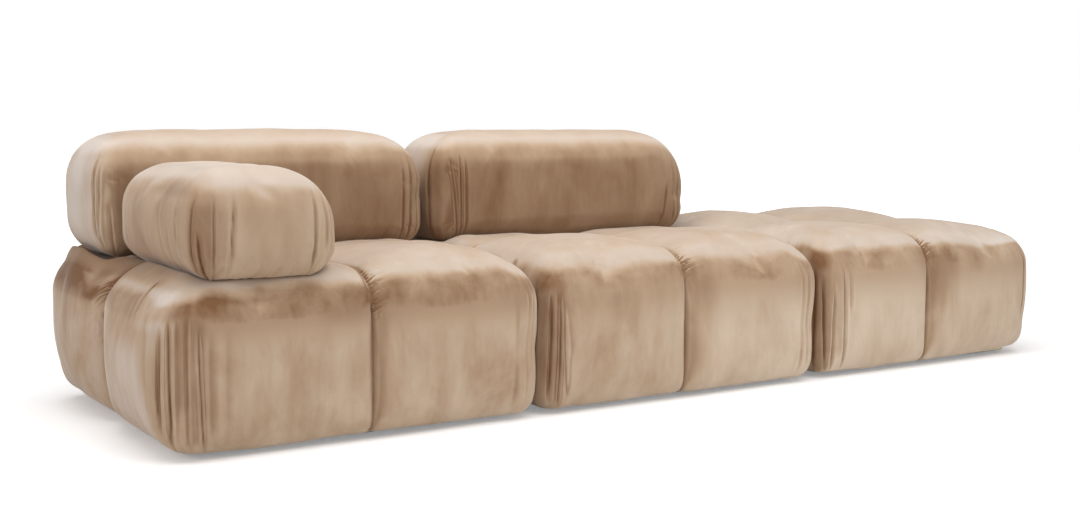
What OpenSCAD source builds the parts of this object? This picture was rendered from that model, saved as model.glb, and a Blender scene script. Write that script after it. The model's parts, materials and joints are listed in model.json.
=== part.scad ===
// Modular sofa: three tufted seat modules, two lift-off back cushions and one lift-off arm cushion.
// Millimetres. +Z is up, -Y is the front, and X runs along the row, with the middle module at 0.
// The origin is on the floor, under the centre of the row.

/* [Seat modules] */
// Width of a module, without the swell of its sides
seat_w = 940; // [880:2:1040]
// Depth of a module, without the swell of its front and rear
seat_d = 956; // [900:2:1060]
// Height of the seat at its sewn seams
seat_h = 407; // [380:1:460]
// Rise of each lobe above the seams
seat_crown = 38; // [15:1:55]
// Swell of each lobe out of the front, the rear and the sides that meet a neighbour
seat_swell = 4; // [2:1:8]
// Swell of each lobe out of the left end of the row
left_swell = 44; // [5:1:60]
// Swell of each lobe out of the right end of the row
right_swell = 18; // [5:1:60]
// Radius of the rounding from the sides to the top
seat_edge_r = 106; // [80:1:130]
// Radius of the upright corners
seat_corner_r = 70; // [60:1:100]
// Radius of the rounding at the hem
hem_r = 44; // [25:1:50]
// Depth of the sewn channels in the top
channel_top = 14; // [6:1:20]
// Depth of the sewn channels down the sides
channel_side = 9; // [4:1:14]
// Distance from the middle of a channel to its rim
channel_rim = 14; // [8:1:20]
// Least thickness of the cover and its wadding, over the foam
cover_t = 14; // [8:1:20]
// Thickness of the cover at the hem
hem_t = 8; // [5:1:12]
// Gap between two modules where they swell most
module_gap = 2; // [2:1:12]

/* [Back cushions] */
// Gap between two back cushions that stand at the middle of their modules, without the swell of their ends
back_gap = 26; // [20:2:80]
// Thickness of a back cushion, without its swell
back_d = 280; // [240:2:320]
// Height of a back cushion, without its swell
back_h = 323; // [260:2:420]
// Radius of the upper corners, seen from the front
back_top_r = 130; // [80:1:140]
// Radius of the lower corners, seen from the front
back_low_r = 70; // [66:1:110]
// Radius of the rounding round the front and rear faces
back_edge_r = 55; // [40:1:60]
// Distance from the rear of the seat to the rear of a back cushion
back_inset = 36; // [4:1:60]
// Distance that each back cushion stands off the middle of its module, away from the other
back_spread = 14; // [0:1:20]

/* [Arm cushion] */
// Width of the arm cushion, without the swell of its sides
arm_w = 322; // [250:2:340]
// Height of the arm cushion, without its swell
arm_h = 242; // [210:2:300]
// Radius of the upper corners, seen from the front
arm_top_r = 90; // [70:1:95]
// Radius of the lower corners, seen from the front
arm_low_r = 66; // [60:1:80]
// Radius of the rounding round the front and rear ends
arm_edge_r = 45; // [38:1:55]
// Distance from the outer side of the seat to the arm cushion
arm_side_inset = 70; // [60:1:110]
// Distance from the front of the seat to the arm cushion
arm_front_inset = 30; // [16:1:90]

/* [Loose cushions] */
// Drop of the beds that the back and arm cushions press into the seats, below the seams
bed_drop = 9; // [2:1:20]
// Swell of the faces and sides of the loose cushions
loaf_swell = 10; // [3:1:12]
// Thickness of the cover and wadding round the foam
loaf_t = 30; // [22:1:34]
// Extra rounding of the foam's upper corners, which leaves them slack in the cover
foam_trim = 10; // [0:1:15]
// Thickness of the plywood base
base_t = 18; // [12:1:21]
// Margin between the plywood base and the rounding of the cushion's underside
base_margin = 5; // [2:1:10]
// Thickness of the plywood stiffener
stiffener_t = 12; // [9:1:15]
// Height of the stiffener above the base
stiffener_h = 130; // [80:1:150]

/* [Foam] */
// Thickness of the soft topper
topper_t = 50; // [30:1:70]
// Thickness of the foam strip round the frame
side_foam_t = 20; // [10:1:30]
// Radius of the foam's upright corners
core_r = 45; // [40:1:60]

/* [Timber frame] */
// Height of the rails
frame_h = 120; // [100:1:140]
// Thickness of the rails
rail_t = 22; // [18:1:28]
// Width of the slats
slat_w = 90; // [80:1:110]
// Thickness of the slats
slat_t = 30; // [22:1:35]
// Drop of the slats below the top of the rails
slat_drop = 16; // [13:1:24]
// Width of the corner blocks, across the module
block_w = 60; // [55:1:75]
// Length of the corner blocks, front to rear
block_l = 150; // [140:1:170]

/* [Webbing] */
// Width of a strap
strap_w = 60; // [40:1:70]
// Thickness of a strap
strap_t = 2; // [1:0.5:3]
// Distance from a strap's end to the outside of the frame
strap_end = 4; // [2:1:10]

/* [Posts and sleeves] */
// Diameter of the steel posts
post_d = 25; // [20:1:28]
// Distance between the two posts of a back cushion
back_post_gap = 460; // [420:2:480]
// Distance between the two posts of the arm cushion
arm_post_gap = 340; // [310:2:360]
// Length of post that stands in the seat
post_in = 200; // [120:1:230]
// Length of post inside the cushion, above the base
post_up = 130; // [60:1:150]
// Wall of the steel sleeves
sleeve_t = 2.5; // [1.5:0.5:3]
// Play between a post and its sleeve, on each side
post_play = 0.05; // [0.02:0.01:0.09]
// Diameter of the flanges on the posts and sleeves
flange_d = 70; // [66:1:76]
// Thickness of the flanges
flange_t = 4; // [3:0.5:5]

/* [Glides and screws] */
// Diameter of a glide
glide_d = 45; // [35:1:50]
// Height of a glide
glide_h = 11; // [11:0.5:16]
// Thickness of the dust cloth
cloth_t = 1; // [0.5:0.5:2]
// Diameter of the screws' shanks
screw_d = 5; // [4:0.5:6]
// Diameter of the screws' heads
head_d = 10; // [9:0.5:12]
// Height of the screws' heads
head_h = 3; // [2:0.5:3]
// Length of the long screws' shanks below the head
screw_l = 35; // [25:1:45]
// Length of the short screws' shanks, in the slats and bases
short_screw_l = 14; // [11:1:15]

/* [Clips between modules] */
// Thickness of the clips' sheet steel
clip_t = 2.5; // [2:0.5:2.5]
// Width of a clip
clip_w = 50; // [36:1:54]
// Height of the mouth of the jaws
mouth_h = 4; // [3.5:0.5:4]
// Depth of the mouth of the jaws
mouth_l = 36; // [25:1:45]
// Distance from the side of the module to the mouth
mouth_inset = 12; // [8:1:20]
// Play at the tip of a tongue
tip_play = 3; // [2:1:6]

/* [Tufting] */
// Diameter of the cord in the middle of a seat
tie_d = 4; // [3:0.5:6]
// Diameter of the toggle under the webbing
toggle_d = 40; // [30:1:50]
// Thickness of the toggle
toggle_t = 5; // [3:1:8]

/* [Hidden] */

VELVET = "#b8997b";
FOAM = "#e9e2c4";
SOFT_FOAM = "#dfe3e6";
TIMBER = "#c9a877";
STEEL = "#a9adb1";
ZINC = "#c3c6c8";
NYLON = "#2e2e30";
CLOTH = "#26262a";
WEBBING = "#4a4038";

// Clearance between soft pieces that come apart, and round a piece inside another
soft_gap = 0.4;
fit_gap = 0.2;
// Thickness of the glue between two timbers, and of the air between two layers of straps
glue_gap = 0.2;
// Steps in a quarter of a corner's arc, and the angles of the rows over a rounded edge
ARC = 2;
EDGE_ROWS = [0, 22.5, 45, 67.5, 90];
HEM_ROWS = [-90, -45, 0];
CAP_CORNER_R = 30;
// How fast a lobe swells out of a side
SIDE_POWER = 6;

// Levels, from the floor up
bed_h = seat_h - bed_drop;
cloth_z = glide_h;
frame_z = cloth_z + cloth_t;
frame_top = frame_z + frame_h;
web_top = frame_top + 2 * strap_t + glue_gap;
core_top = min(bed_h, seat_h - channel_top) - cover_t;
slat_top = frame_top - slat_drop;
post_foot = core_top - post_in;

// Sizes of the foam and frame, inward from the cover
pitch = seat_w + 2 * seat_swell + module_gap;
core_w = seat_w - 2 * (hem_r + hem_t);
core_d = seat_d - 2 * (hem_r + hem_t);
frame_w = core_w - 2 * side_foam_t;
frame_d = core_d - 2 * side_foam_t;
core_plan_r = max(core_r, hem_r);

// Sizes and places of the loose cushions on a module
back_w = pitch - back_gap;
back_y = seat_d / 2 - back_inset - back_d / 2;
back_front = back_y - back_d / 2;
arm_x = -seat_w / 2 + arm_side_inset + arm_w / 2;
arm_front = -seat_d / 2 + arm_front_inset;
arm_d = back_front - 2 * loaf_swell - soft_gap - arm_front;
arm_y = arm_front + arm_d / 2;
arm_inner = arm_x + arm_w / 2;

// Places of the posts on a module, which the slats and straps follow
// back is the way that a module's back cushion stands off its middle: -1, 1, or 0 without one
function back_posts(back) = [for (s = [-1, 1]) [back * back_spread + s * back_post_gap / 2, back_y]];
ARM_POSTS = [[arm_x, arm_y - arm_post_gap / 2], [arm_x, arm_y + arm_post_gap / 2]];
SLAT_ROWS = [ARM_POSTS[0].y, ARM_POSTS[1].y, back_y];
BLOCK_X = frame_w / 2 - rail_t - glue_gap - block_w / 2;
BLOCK_Y = frame_d / 2 - rail_t - glue_gap - block_l / 2;
glide_y = frame_d / 2 - rail_t - glide_d / 2 - 6;
clip_y = frame_d / 2 - rail_t - block_l + clip_w / 2 + 2;
CLIP_ROWS = [-clip_y, clip_y];

// Lines over the seat, at the channels' rims and where the loose cushions press
bed_x = arm_inner - 0.4 * arm_low_r;
bed_y = back_front + back_edge_r / 2;
lip_x = (bed_x + 30 - channel_rim) / 2;
SEAT_LINES_X = mirrored([channel_rim, -lip_x, -bed_x, (seat_w / 2 - seat_edge_r - CAP_CORNER_R - bed_x) / 2]);
SEAT_LINES_Y = mirrored([channel_rim, (channel_rim + back_front) / 2 - 10, back_front - 30, bed_y,
    (seat_d / 2 - seat_edge_r - CAP_CORNER_R + bed_y) / 2]);

function mirrored(list) = concat([for (i = [len(list) - 1:-1:0]) -list[i]], [0], list);
function flipped(list) = [for (i = [len(list) - 1:-1:0]) -list[i]];
function clamp(v, limit) = max(-limit, min(limit, v));

// A ring is a rectangle with round corners. Each side starts in the middle of a corner's arc.
function side_run(half, depth, r0, r1, lines) = concat(
    [for (k = [0:ARC - 1]) let (t = 45 * (1 - k / ARC))
        [-half + r0 * (1 - sin(t)), -depth + r0 * (1 - cos(t))]],
    [[-half + r0, -depth]],
    [for (s = lines) [s, -depth]],
    [[half - r1, -depth]],
    [for (k = [1:ARC - 1]) let (t = 45 * k / ARC)
        [half - r1 * (1 - sin(t)), -depth + r1 * (1 - cos(t))]]);
function ring(half, depth, r_low, r_top, lines_a, lines_b) = concat(
    side_run(half, depth, r_low, r_low, lines_a),
    [for (p = side_run(depth, half, r_low, r_top, lines_b)) [-p.y, p.x]],
    [for (p = side_run(half, depth, r_top, r_top, flipped(lines_a))) [-p.x, -p.y]],
    [for (p = side_run(depth, half, r_top, r_low, flipped(lines_b))) [p.y, -p.x]]);

// The inner points of a cap: the crossings of the lines between opposite points of its ring
function cap_points(rim, na, nb) = [for (j = [1:nb - 1]) for (i = [1:na - 1])
    let (low = rim[i], high = rim[2 * na + nb - i], b = rim[na + j].y)
    [low.x + (high.x - low.x) * (b - low.y) / (high.y - low.y), b]];
function cap_id(i, j, na, nb, rim0, inner0) =
    j == 0 ? rim0 + i :
    i == na ? rim0 + na + j :
    j == nb ? rim0 + 2 * na + nb - i :
    i == 0 ? rim0 + 2 * na + 2 * nb - j :
    inner0 + (i - 1) + (j - 1) * (na - 1);
function cap_faces(na, nb, rim0, inner0, up) = [for (j = [0:nb - 1]) for (i = [0:na - 1])
    let (p = cap_id(i, j, na, nb, rim0, inner0), q = cap_id(i + 1, j, na, nb, rim0, inner0),
        r = cap_id(i + 1, j + 1, na, nb, rim0, inner0), s = cap_id(i, j + 1, na, nb, rim0, inner0))
    each up ? [[p, s, r], [p, r, q]] : [[p, r, s], [p, q, r]]];
function wall_faces(rows, count) = [for (k = [0:rows - 2]) for (i = [0:count - 1])
    let (a = k * count + i, b = k * count + (i + 1) % count)
    each [[a, b + count, b], [a, a + count, b + count]]];

// Outward direction at a ring's point, from the middle of the round corner or the straight side
function outward(p, half, depth, r) =
    let (q = [p.x - clamp(p.x, half - r), p.y - clamp(p.y, depth - r)]) q / norm(q);
// Fullness of a lobe: 0 at a channel and at the outer side, 1 in its middle. It rises faster on the sides.
function lobe(t, power = 3) = 1 - pow(abs(2 * min(abs(t), 1) - 1), power);
// Fullness of a loose cushion's face: 1 in its middle, 0 at its edge
function dome(t) = 1 - pow(min(abs(t), 1), 3);
function in_channel(p) = abs(p.x) < 1 || abs(p.y) < 1;

// Bed of the loose cushions at a place on a module, or far above where nothing rests
function bed(p, back, has_arm) =
    (back != 0 && p.y > bed_y - 1)
    || (has_arm && p.x > arm_x - arm_w / 2 - 25 && p.x < bed_x + 1 && p.y > arm_front - 20)
    ? bed_h - soft_gap : 10 * seat_h;
function seat_top(p, angle, back, has_arm) = min(
    seat_h - seat_edge_r * (1 - sin(angle))
        + sin(angle) * (seat_crown * lobe(2 * p.x / seat_w) * lobe(2 * p.y / seat_d)
            - (in_channel(p) ? channel_top : 0)),
    bed(p, back, has_arm));
// A row of the seat's skin: [inset from the side, height, angle over the edge]
SEAT_ROWS = concat(
    [for (t = HEM_ROWS) [hem_r * (1 - cos(t)), cloth_z + hem_r * (1 + sin(t)), t]],
    [for (k = [1:2]) [0, cloth_z + hem_r + k * (seat_h - seat_edge_r - cloth_z - hem_r) / 3, 0]],
    [for (t = EDGE_ROWS) [seat_edge_r * (1 - cos(t)), seat_h - seat_edge_r * (1 - sin(t)), t]]);
// end is the end of the row that a module stands at: -1 for the left, 1 for the right, 0 for neither
function side_swell(n, end) =
    n.x < 0 && end < 0 ? left_swell : n.x > 0 && end > 0 ? right_swell : seat_swell;
function seat_ring(row, end) =
    let (r = row[2] < 0 ? seat_corner_r - row[0]
        : seat_corner_r + (CAP_CORNER_R - seat_corner_r) * row[0] / seat_edge_r)
    [for (p = ring(seat_w / 2 - row[0], seat_d / 2 - row[0], r, r, SEAT_LINES_X, SEAT_LINES_Y))
        let (n = outward(p, seat_w / 2 - row[0], seat_d / 2 - row[0], r),
            full = seat_swell * abs(n.y) * lobe(2 * p.x / seat_w, SIDE_POWER)
                + side_swell(n, end) * abs(n.x) * lobe(2 * p.y / seat_d, SIDE_POWER),
            rise = sin(180 * (row[1] - cloth_z) / (seat_h - cloth_z)))
        p + n * cos(row[2]) * (full * rise - (in_channel(p) ? channel_side : 0))];
function seat_point(p, row, back, has_arm) =
    [p.x, p.y, row[2] > 0 ? seat_top(p, row[2], back, has_arm) : row[1]];

// Tufted block with a crown on each lobe, sewn channels, and beds where cushions press
module seat_form(back, has_arm, end) {
    rings = [for (row = SEAT_ROWS) seat_ring(row, end)];
    rows = len(SEAT_ROWS);
    na = len(side_run(1, 1, 0, 0, SEAT_LINES_X));
    nb = len(side_run(1, 1, 0, 0, SEAT_LINES_Y));
    count = 2 * (na + nb);
    rim = ring(seat_w / 2 - seat_edge_r, seat_d / 2 - seat_edge_r, CAP_CORNER_R, CAP_CORNER_R,
        SEAT_LINES_X, SEAT_LINES_Y);
    points = concat(
        [for (k = [0:rows - 1]) for (p = rings[k]) seat_point(p, SEAT_ROWS[k], back, has_arm)],
        [for (p = cap_points(rim, na, nb)) seat_point(p, SEAT_ROWS[rows - 1], back, has_arm)],
        [[0, 0, cloth_z]]);
    faces = concat(
        wall_faces(rows, count),
        cap_faces(na, nb, (rows - 1) * count, rows * count, true),
        [for (i = [0:count - 1]) [len(points) - 1, i, (i + 1) % count]]);
    polyhedron(points, faces, convexity = 6);
}

// Loose cushion, drawn lying on its rear face: x across, y up from its middle, z to the front
function loaf_rows(d, edge_r) = concat(
    [for (t = EDGE_ROWS) [edge_r * (1 - sin(t)), edge_r * (1 - cos(t)), t - 90]],
    [[0, d / 2, 0]],
    [for (t = EDGE_ROWS) [edge_r * (1 - cos(t)), d - edge_r * (1 - sin(t)), t]]);
function loaf_point(p, row, n, w, h) =
    let (face = loaf_swell * dome(2 * p.x / w) * dome(2 * p.y / h) * sin(row[2]),
        side = loaf_swell * cos(row[2]) * (max(n.y, 0) * dome(2 * p.x / w) + abs(n.x) * dome(2 * p.y / h)))
    [p.x + n.x * side, p.y + max(n.y, 0) * side, row[1] + face];
module loaf_form(w, d, h, top_r, low_r, edge_r) {
    lines_x = mirrored([(w / 2 - top_r) / 3, 2 * (w / 2 - top_r) / 3]);
    lines_y = [0];
    rows = loaf_rows(d, edge_r);
    na = len(side_run(1, 1, 0, 0, lines_x));
    nb = len(side_run(1, 1, 0, 0, lines_y));
    count = 2 * (na + nb);
    rings = [for (row = rows) ring(w / 2 - row[0], h / 2 - row[0], low_r - row[0], top_r - row[0],
        lines_x, lines_y)];
    last = len(rows) - 1;
    inner = cap_points(rings[0], na, nb);
    points = concat(
        [for (k = [0:last]) for (i = [0:count - 1])
            let (p = rings[k][i],
                r = p.y > 0 ? top_r - rows[k][0] : low_r - rows[k][0],
                n = outward(p, w / 2 - rows[k][0], h / 2 - rows[k][0], r))
            loaf_point(p, rows[k], n, w, h)],
        [for (p = inner) loaf_point(p, rows[0], [0, 0], w, h)],
        [for (p = inner) loaf_point(p, rows[last], [0, 0], w, h)]);
    faces = concat(
        wall_faces(len(rows), count),
        cap_faces(na, nb, 0, (last + 1) * count, false),
        cap_faces(na, nb, last * count, (last + 1) * count + len(inner), true));
    polyhedron(points, faces, convexity = 4);
}

// Slab with round upright corners, standing on z = 0
module slab(w, d, h, r) {
    linear_extrude(h) {
        square([w - 2 * r, d], center = true);
        square([w, d - 2 * r], center = true);
        for (x = [-1, 1], y = [-1, 1]) translate([x * (w / 2 - r), y * (d / 2 - r)]) circle(r, $fn = 48);
    }
}
module block(w, d, h) {
    translate([-w / 2, -d / 2, 0]) cube([w, d, h]);
}
module at(places) {
    for (p = places) translate([p.x, p.y, 0]) children();
}
// Screw with its head's underside at z = 0 and its shank downwards
module screw(l) {
    translate([0, 0, -l]) cylinder(d = screw_d, h = l, $fn = 24);
    cylinder(d = head_d, h = head_h, $fn = 24);
}
module screw_up(l) {
    mirror([0, 0, 1]) screw(l);
}

// Places of the posts that stand in a seat
function seat_posts(back, has_arm) = concat(back == 0 ? [] : back_posts(back), has_arm ? ARM_POSTS : []);
CORNERS = [for (x = [-1, 1], y = [-1, 1]) [x, y]];
GLIDES = [for (c = CORNERS) [c.x * BLOCK_X, c.y * glide_y]];
// Clip screws stand side by side under a corner block. side is -1 for the left clips, 1 for the right.
function clip_screw_places(side) = [for (y = CLIP_ROWS, s = [-1, 1])
    [side * (BLOCK_X + s * block_w / 4), y]];
function flange_holes(posts) = [for (p = posts, a = [45:90:315])
    p + (flange_d / 2 - head_d / 2 - 2) * [cos(a), sin(a)]];

module seat_cover(back, has_arm, end) {
    color(VELVET) difference() {
        seat_form(back, has_arm, end);
        translate([0, 0, cloth_z - 1]) slab(core_w, core_d, core_top - cloth_z + 1, core_plan_r);
        at(seat_posts(back, has_arm)) cylinder(d = post_d + 2, h = seat_h + seat_crown, $fn = 32);
    }
}
module sleeve_holes(back, has_arm) {
    at(seat_posts(back, has_arm))
        cylinder(d = post_d + 2 * (post_play + sleeve_t + fit_gap), h = seat_h, $fn = 48);
    translate([0, 0, frame_z]) cylinder(d = tie_d + 2 * fit_gap, h = seat_h, $fn = 24);
}
module seat_topper(back, has_arm) {
    color(SOFT_FOAM) difference() {
        translate([0, 0, core_top - topper_t])
            slab(core_w - 2 * fit_gap, core_d - 2 * fit_gap, topper_t, core_plan_r);
        sleeve_holes(back, has_arm);
    }
}
module seat_core(back, has_arm) {
    color(FOAM) difference() {
        translate([0, 0, web_top])
            slab(core_w - 2 * fit_gap, core_d - 2 * fit_gap, core_top - topper_t - web_top, core_plan_r);
        sleeve_holes(back, has_arm);
    }
}
module side_foam() {
    color(FOAM) difference() {
        translate([0, 0, frame_z])
            slab(core_w - 2 * fit_gap, core_d - 2 * fit_gap, web_top - frame_z, core_plan_r);
        translate([0, 0, cloth_z]) block(frame_w, frame_d, web_top);
    }
}
// Straps across the module lie on the rails, and straps front to rear lie on them
STRAP_ROWS = [for (k = [0:1], f = [1 / 3, 2 / 3]) SLAT_ROWS[k] + f * (SLAT_ROWS[k + 1] - SLAT_ROWS[k])];
strap_out = (max(back_post_gap / 2 + back_spread, -arm_x) + frame_w / 2) / 2 - 5;
STRAP_COLUMNS = mirrored([back_post_gap / 3, strap_out]);
module webbing() {
    color(WEBBING) difference() {
        union() {
            for (y = STRAP_ROWS) translate([0, y, frame_top])
                block(frame_w - 2 * strap_end, strap_w, strap_t);
            for (x = STRAP_COLUMNS) translate([x, 0, web_top - strap_t])
                block(strap_w, frame_d - 2 * strap_end, strap_t);
        }
        cylinder(d = tie_d + 2 * fit_gap, h = seat_h, $fn = 24);
    }
}
// Each timber is a solid of its own, a film of glue from its neighbours
module frame(side_clips, posts) {
    color(TIMBER) difference() {
        union() {
            for (s = [-1, 1]) {
                translate([0, s * (frame_d - rail_t) / 2, frame_z]) block(frame_w, rail_t, frame_h);
                translate([s * (frame_w - rail_t) / 2, 0, frame_z])
                    block(rail_t, frame_d - 2 * (rail_t + glue_gap), frame_h);
            }
            for (y = SLAT_ROWS) translate([0, y, slat_top - slat_t])
                block(frame_w - 2 * (rail_t + glue_gap), slat_w, slat_t);
            for (c = CORNERS) translate([c.x * BLOCK_X, c.y * BLOCK_Y, frame_z])
                block(block_w, block_l, slat_top - slat_t - glue_gap - frame_z);
        }
        at(GLIDES) cylinder(d = screw_d, h = frame_z + screw_l, $fn = 24);
        for (side = side_clips) at(clip_screw_places(side))
            cylinder(d = screw_d, h = frame_z + screw_l, $fn = 24);
        at(flange_holes(posts)) translate([0, 0, slat_top - short_screw_l])
            cylinder(d = screw_d, h = short_screw_l + 1, $fn = 24);
    }
}
module dust_cloth(side_clips) {
    color(CLOTH) difference() {
        translate([0, 0, cloth_z]) slab(core_w - 2 * fit_gap, core_d - 2 * fit_gap, cloth_t, core_plan_r);
        at(GLIDES) cylinder(d = screw_d, h = 2 * frame_z, $fn = 24);
        for (side = side_clips) at(clip_screw_places(side)) cylinder(d = screw_d, h = 2 * frame_z, $fn = 24);
    }
}
// A screw's head lies in a counterbore in its glide, clear of the floor
module glides() {
    color(NYLON) at(GLIDES) difference() {
        cylinder(d = glide_d, h = glide_h, $fn = 48);
        translate([0, 0, -1]) cylinder(d = head_d + 2, h = 3 + head_h, $fn = 32);
        translate([0, 0, -1]) cylinder(d = screw_d, h = glide_h + 2, $fn = 24);
    }
}
module glide_screws() {
    color(ZINC) at(GLIDES) translate([0, 0, 2 + head_h]) screw_up(screw_l);
}
// Cord from the cover's centre, down through foam and webbing, to a toggle under the middle strap
module tuft_tie() {
    toggle_top = web_top - strap_t;
    color(CLOTH) {
        translate([0, 0, toggle_top - toggle_t]) cylinder(d = toggle_d, h = toggle_t, $fn = 32);
        translate([0, 0, toggle_top]) cylinder(d = tie_d, h = core_top - toggle_top, $fn = 24);
    }
}
// Tube on a flange that is screwed to a slat
module sleeves(posts) {
    color(STEEL) difference() {
        at(posts) translate([0, 0, slat_top]) {
            cylinder(d = post_d + 2 * (post_play + sleeve_t), h = core_top - slat_top, $fn = 48);
            cylinder(d = flange_d, h = flange_t, $fn = 48);
        }
        at(posts) translate([0, 0, slat_top - 1])
            cylinder(d = post_d + 2 * post_play, h = core_top, $fn = 48);
        at(flange_holes(posts)) cylinder(d = screw_d, h = core_top, $fn = 24);
    }
}
module sleeve_screws(posts) {
    color(ZINC) at(flange_holes(posts)) translate([0, 0, slat_top + flange_t])
        screw(flange_t + short_screw_l);
}

// Clips: the jaws are bent from one sheet, with a mouth that opens to the neighbour. They stand
// out past the frame, under the hem. The tongue of the neighbour lies in the mouth.
plate_z = cloth_z - clip_t;
jaw_low = plate_z - mouth_h - clip_t;
tongue_z = plate_z - mouth_h / 2 - clip_t / 2;
mouth_x = seat_w / 2 - mouth_inset;
plate_x = BLOCK_X - block_w / 2;
module clip_jaws(side) {
    color(STEEL) difference() {
        for (y = CLIP_ROWS) translate([0, y - clip_w / 2, 0]) mirror([side < 0 ? 1 : 0, 0, 0]) {
            translate([plate_x, 0, plate_z]) cube([mouth_x - plate_x, clip_w, clip_t]);
            translate([mouth_x - mouth_l - clip_t, 0, jaw_low]) cube([mouth_l + clip_t, clip_w, clip_t]);
            translate([mouth_x - mouth_l - clip_t, 0, jaw_low]) cube([clip_t, clip_w, cloth_z - jaw_low]);
        }
        at(clip_screw_places(side)) cylinder(d = screw_d, h = frame_z, $fn = 24);
    }
}
// Tongue on the side of a module that faces its neighbour
module clip_tongues(side) {
    reach = pitch - mouth_x + mouth_l - tip_play;
    step_x = seat_w / 2 - hem_r;
    color(STEEL) difference() {
        for (y = CLIP_ROWS) translate([0, y - clip_w / 2, 0]) mirror([side < 0 ? 1 : 0, 0, 0]) {
            translate([plate_x, 0, plate_z]) cube([step_x - plate_x, clip_w, clip_t]);
            translate([step_x - clip_t, 0, tongue_z]) cube([clip_t, clip_w, cloth_z - tongue_z]);
            translate([step_x - clip_t, 0, tongue_z]) cube([reach - step_x + clip_t, clip_w, clip_t]);
        }
        at(clip_screw_places(side)) cylinder(d = screw_d, h = frame_z, $fn = 24);
    }
}
module clip_screws(sides) {
    color(ZINC) for (side = sides) at(clip_screw_places(side)) translate([0, 0, plate_z]) screw_up(screw_l);
}

// Loose cushions. Sizes of one: [width, depth, height, upper radius, lower radius, edge radius]
BACK = [back_w, back_d, back_h, back_top_r, back_low_r, back_edge_r];
ARM = [arm_w, arm_d, arm_h, arm_top_r, arm_low_r, arm_edge_r];
BACK_FLANGES = [for (s = [-1, 1]) [s * back_post_gap / 2, 0]];
ARM_FLANGES = [for (p = ARM_POSTS) p - [arm_x, arm_y]];

module loaf_block(s) {
    w = s[0] - 2 * loaf_t;
    h = s[2] - 2 * loaf_t;
    low_r = max(s[4] - loaf_t, 1);
    top_r = s[3] - loaf_t + foam_trim;
    translate([0, s[1] / 2 - loaf_t, s[2] / 2]) rotate([90, 0, 0]) intersection() {
        slab(w, h, s[1] - 2 * loaf_t, low_r);
        translate([0, -top_r / 2, 0]) slab(w, h + top_r, s[1] - 2 * loaf_t, top_r);
    }
}
module loaf_base(s) {
    block(s[0] - 2 * (s[4] + base_margin), s[1] - 2 * (s[5] + base_margin), base_t);
}
// Pocket under the foam block for the base, up to the foam
module loaf_pocket(s) {
    translate([0, 0, -1]) block(s[0] - 2 * (s[4] + base_margin), s[1] - 2 * (s[5] + base_margin), loaf_t + 2);
}
module loaf_stiffener(s) {
    off = flange_d / 2 + stiffener_t / 2 + 1;
    length = (s[0] > s[1] ? s[0] - 2 * s[4] : s[1] - 2 * s[5]) - 2 * base_margin;
    translate(s[0] > s[1] ? [0, off, base_t] : [off, 0, base_t])
        block(s[0] > s[1] ? length : stiffener_t, s[0] > s[1] ? stiffener_t : length, stiffener_h);
}
module loaf_cover(s) {
    color(VELVET) difference() {
        translate([0, s[1] / 2, s[2] / 2]) rotate([90, 0, 0]) loaf_form(s[0], s[1], s[2], s[3], s[4], s[5]);
        loaf_block(s);
        loaf_pocket(s);
    }
}
module loaf_foam(s, posts) {
    color(FOAM) difference() {
        union() {
            loaf_block(s);
            translate([0, 0, base_t])
                block(s[0] - 2 * (s[4] + base_margin), s[1] - 2 * (s[5] + base_margin), loaf_t - base_t + 1);
        }
        loaf_stiffener(s);
        at(posts) cylinder(d = post_d + 2 * fit_gap, h = base_t + post_up + fit_gap, $fn = 48);
        at(posts) cylinder(d = flange_d + 2 * fit_gap, h = base_t + flange_t + head_h + fit_gap, $fn = 48);
    }
}
module loaf_board(s, posts) {
    color(TIMBER) {
        difference() {
            loaf_base(s);
            at(posts) translate([0, 0, -1]) cylinder(d = post_d + 2 * fit_gap, h = base_t + 2, $fn = 48);
            at(flange_holes(posts)) translate([0, 0, base_t - short_screw_l])
                cylinder(d = screw_d, h = short_screw_l + 1, $fn = 24);
        }
        loaf_stiffener(s);
    }
}
// Steel posts that stand down into the seat's sleeves, on flanges on the base
module loaf_posts(posts) {
    color(STEEL) difference() {
        at(posts) {
            translate([0, 0, post_foot - bed_h])
                cylinder(d = post_d, h = bed_h - post_foot + base_t + post_up, $fn = 48);
            translate([0, 0, base_t]) cylinder(d = flange_d, h = flange_t, $fn = 48);
        }
        at(flange_holes(posts)) cylinder(d = screw_d, h = bed_h, $fn = 24);
    }
}
module loaf_screws(posts) {
    color(ZINC) at(flange_holes(posts)) translate([0, 0, base_t + flange_t]) screw(flange_t + short_screw_l);
}

module left() {
    translate([-pitch, 0, 0]) children();
}
module right() {
    translate([pitch, 0, 0]) children();
}
module on_back(back) {
    translate([back * back_spread, back_y, bed_h]) children();
}
module on_arm() {
    translate([arm_x, arm_y, bed_h]) children();
}

left() seat_cover(-1, true, -1);  // seat_cover_left
seat_cover(1, false, 0);  // seat_cover_middle
right() seat_cover(0, false, 1);  // seat_cover_right
left() seat_topper(-1, true);  // seat_topper_left
seat_topper(1, false);  // seat_topper_middle
right() seat_topper(0, false);  // seat_topper_right
left() seat_core(-1, true);  // seat_core_left
seat_core(1, false);  // seat_core_middle
right() seat_core(0, false);  // seat_core_right
left() side_foam();  // side_foam_left
side_foam();  // side_foam_middle
right() side_foam();  // side_foam_right
left() webbing();  // webbing_left
webbing();  // webbing_middle
right() webbing();  // webbing_right
left() frame([1], seat_posts(-1, true));  // frame_left
frame([-1, 1], seat_posts(1, false));  // frame_middle
right() frame([-1], []);  // frame_right
left() dust_cloth([1]);  // dust_cloth_left
dust_cloth([-1, 1]);  // dust_cloth_middle
right() dust_cloth([-1]);  // dust_cloth_right
left() glides();  // glides_left
glides();  // glides_middle
right() glides();  // glides_right
left() glide_screws();  // glide_screws_left
glide_screws();  // glide_screws_middle
right() glide_screws();  // glide_screws_right
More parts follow.
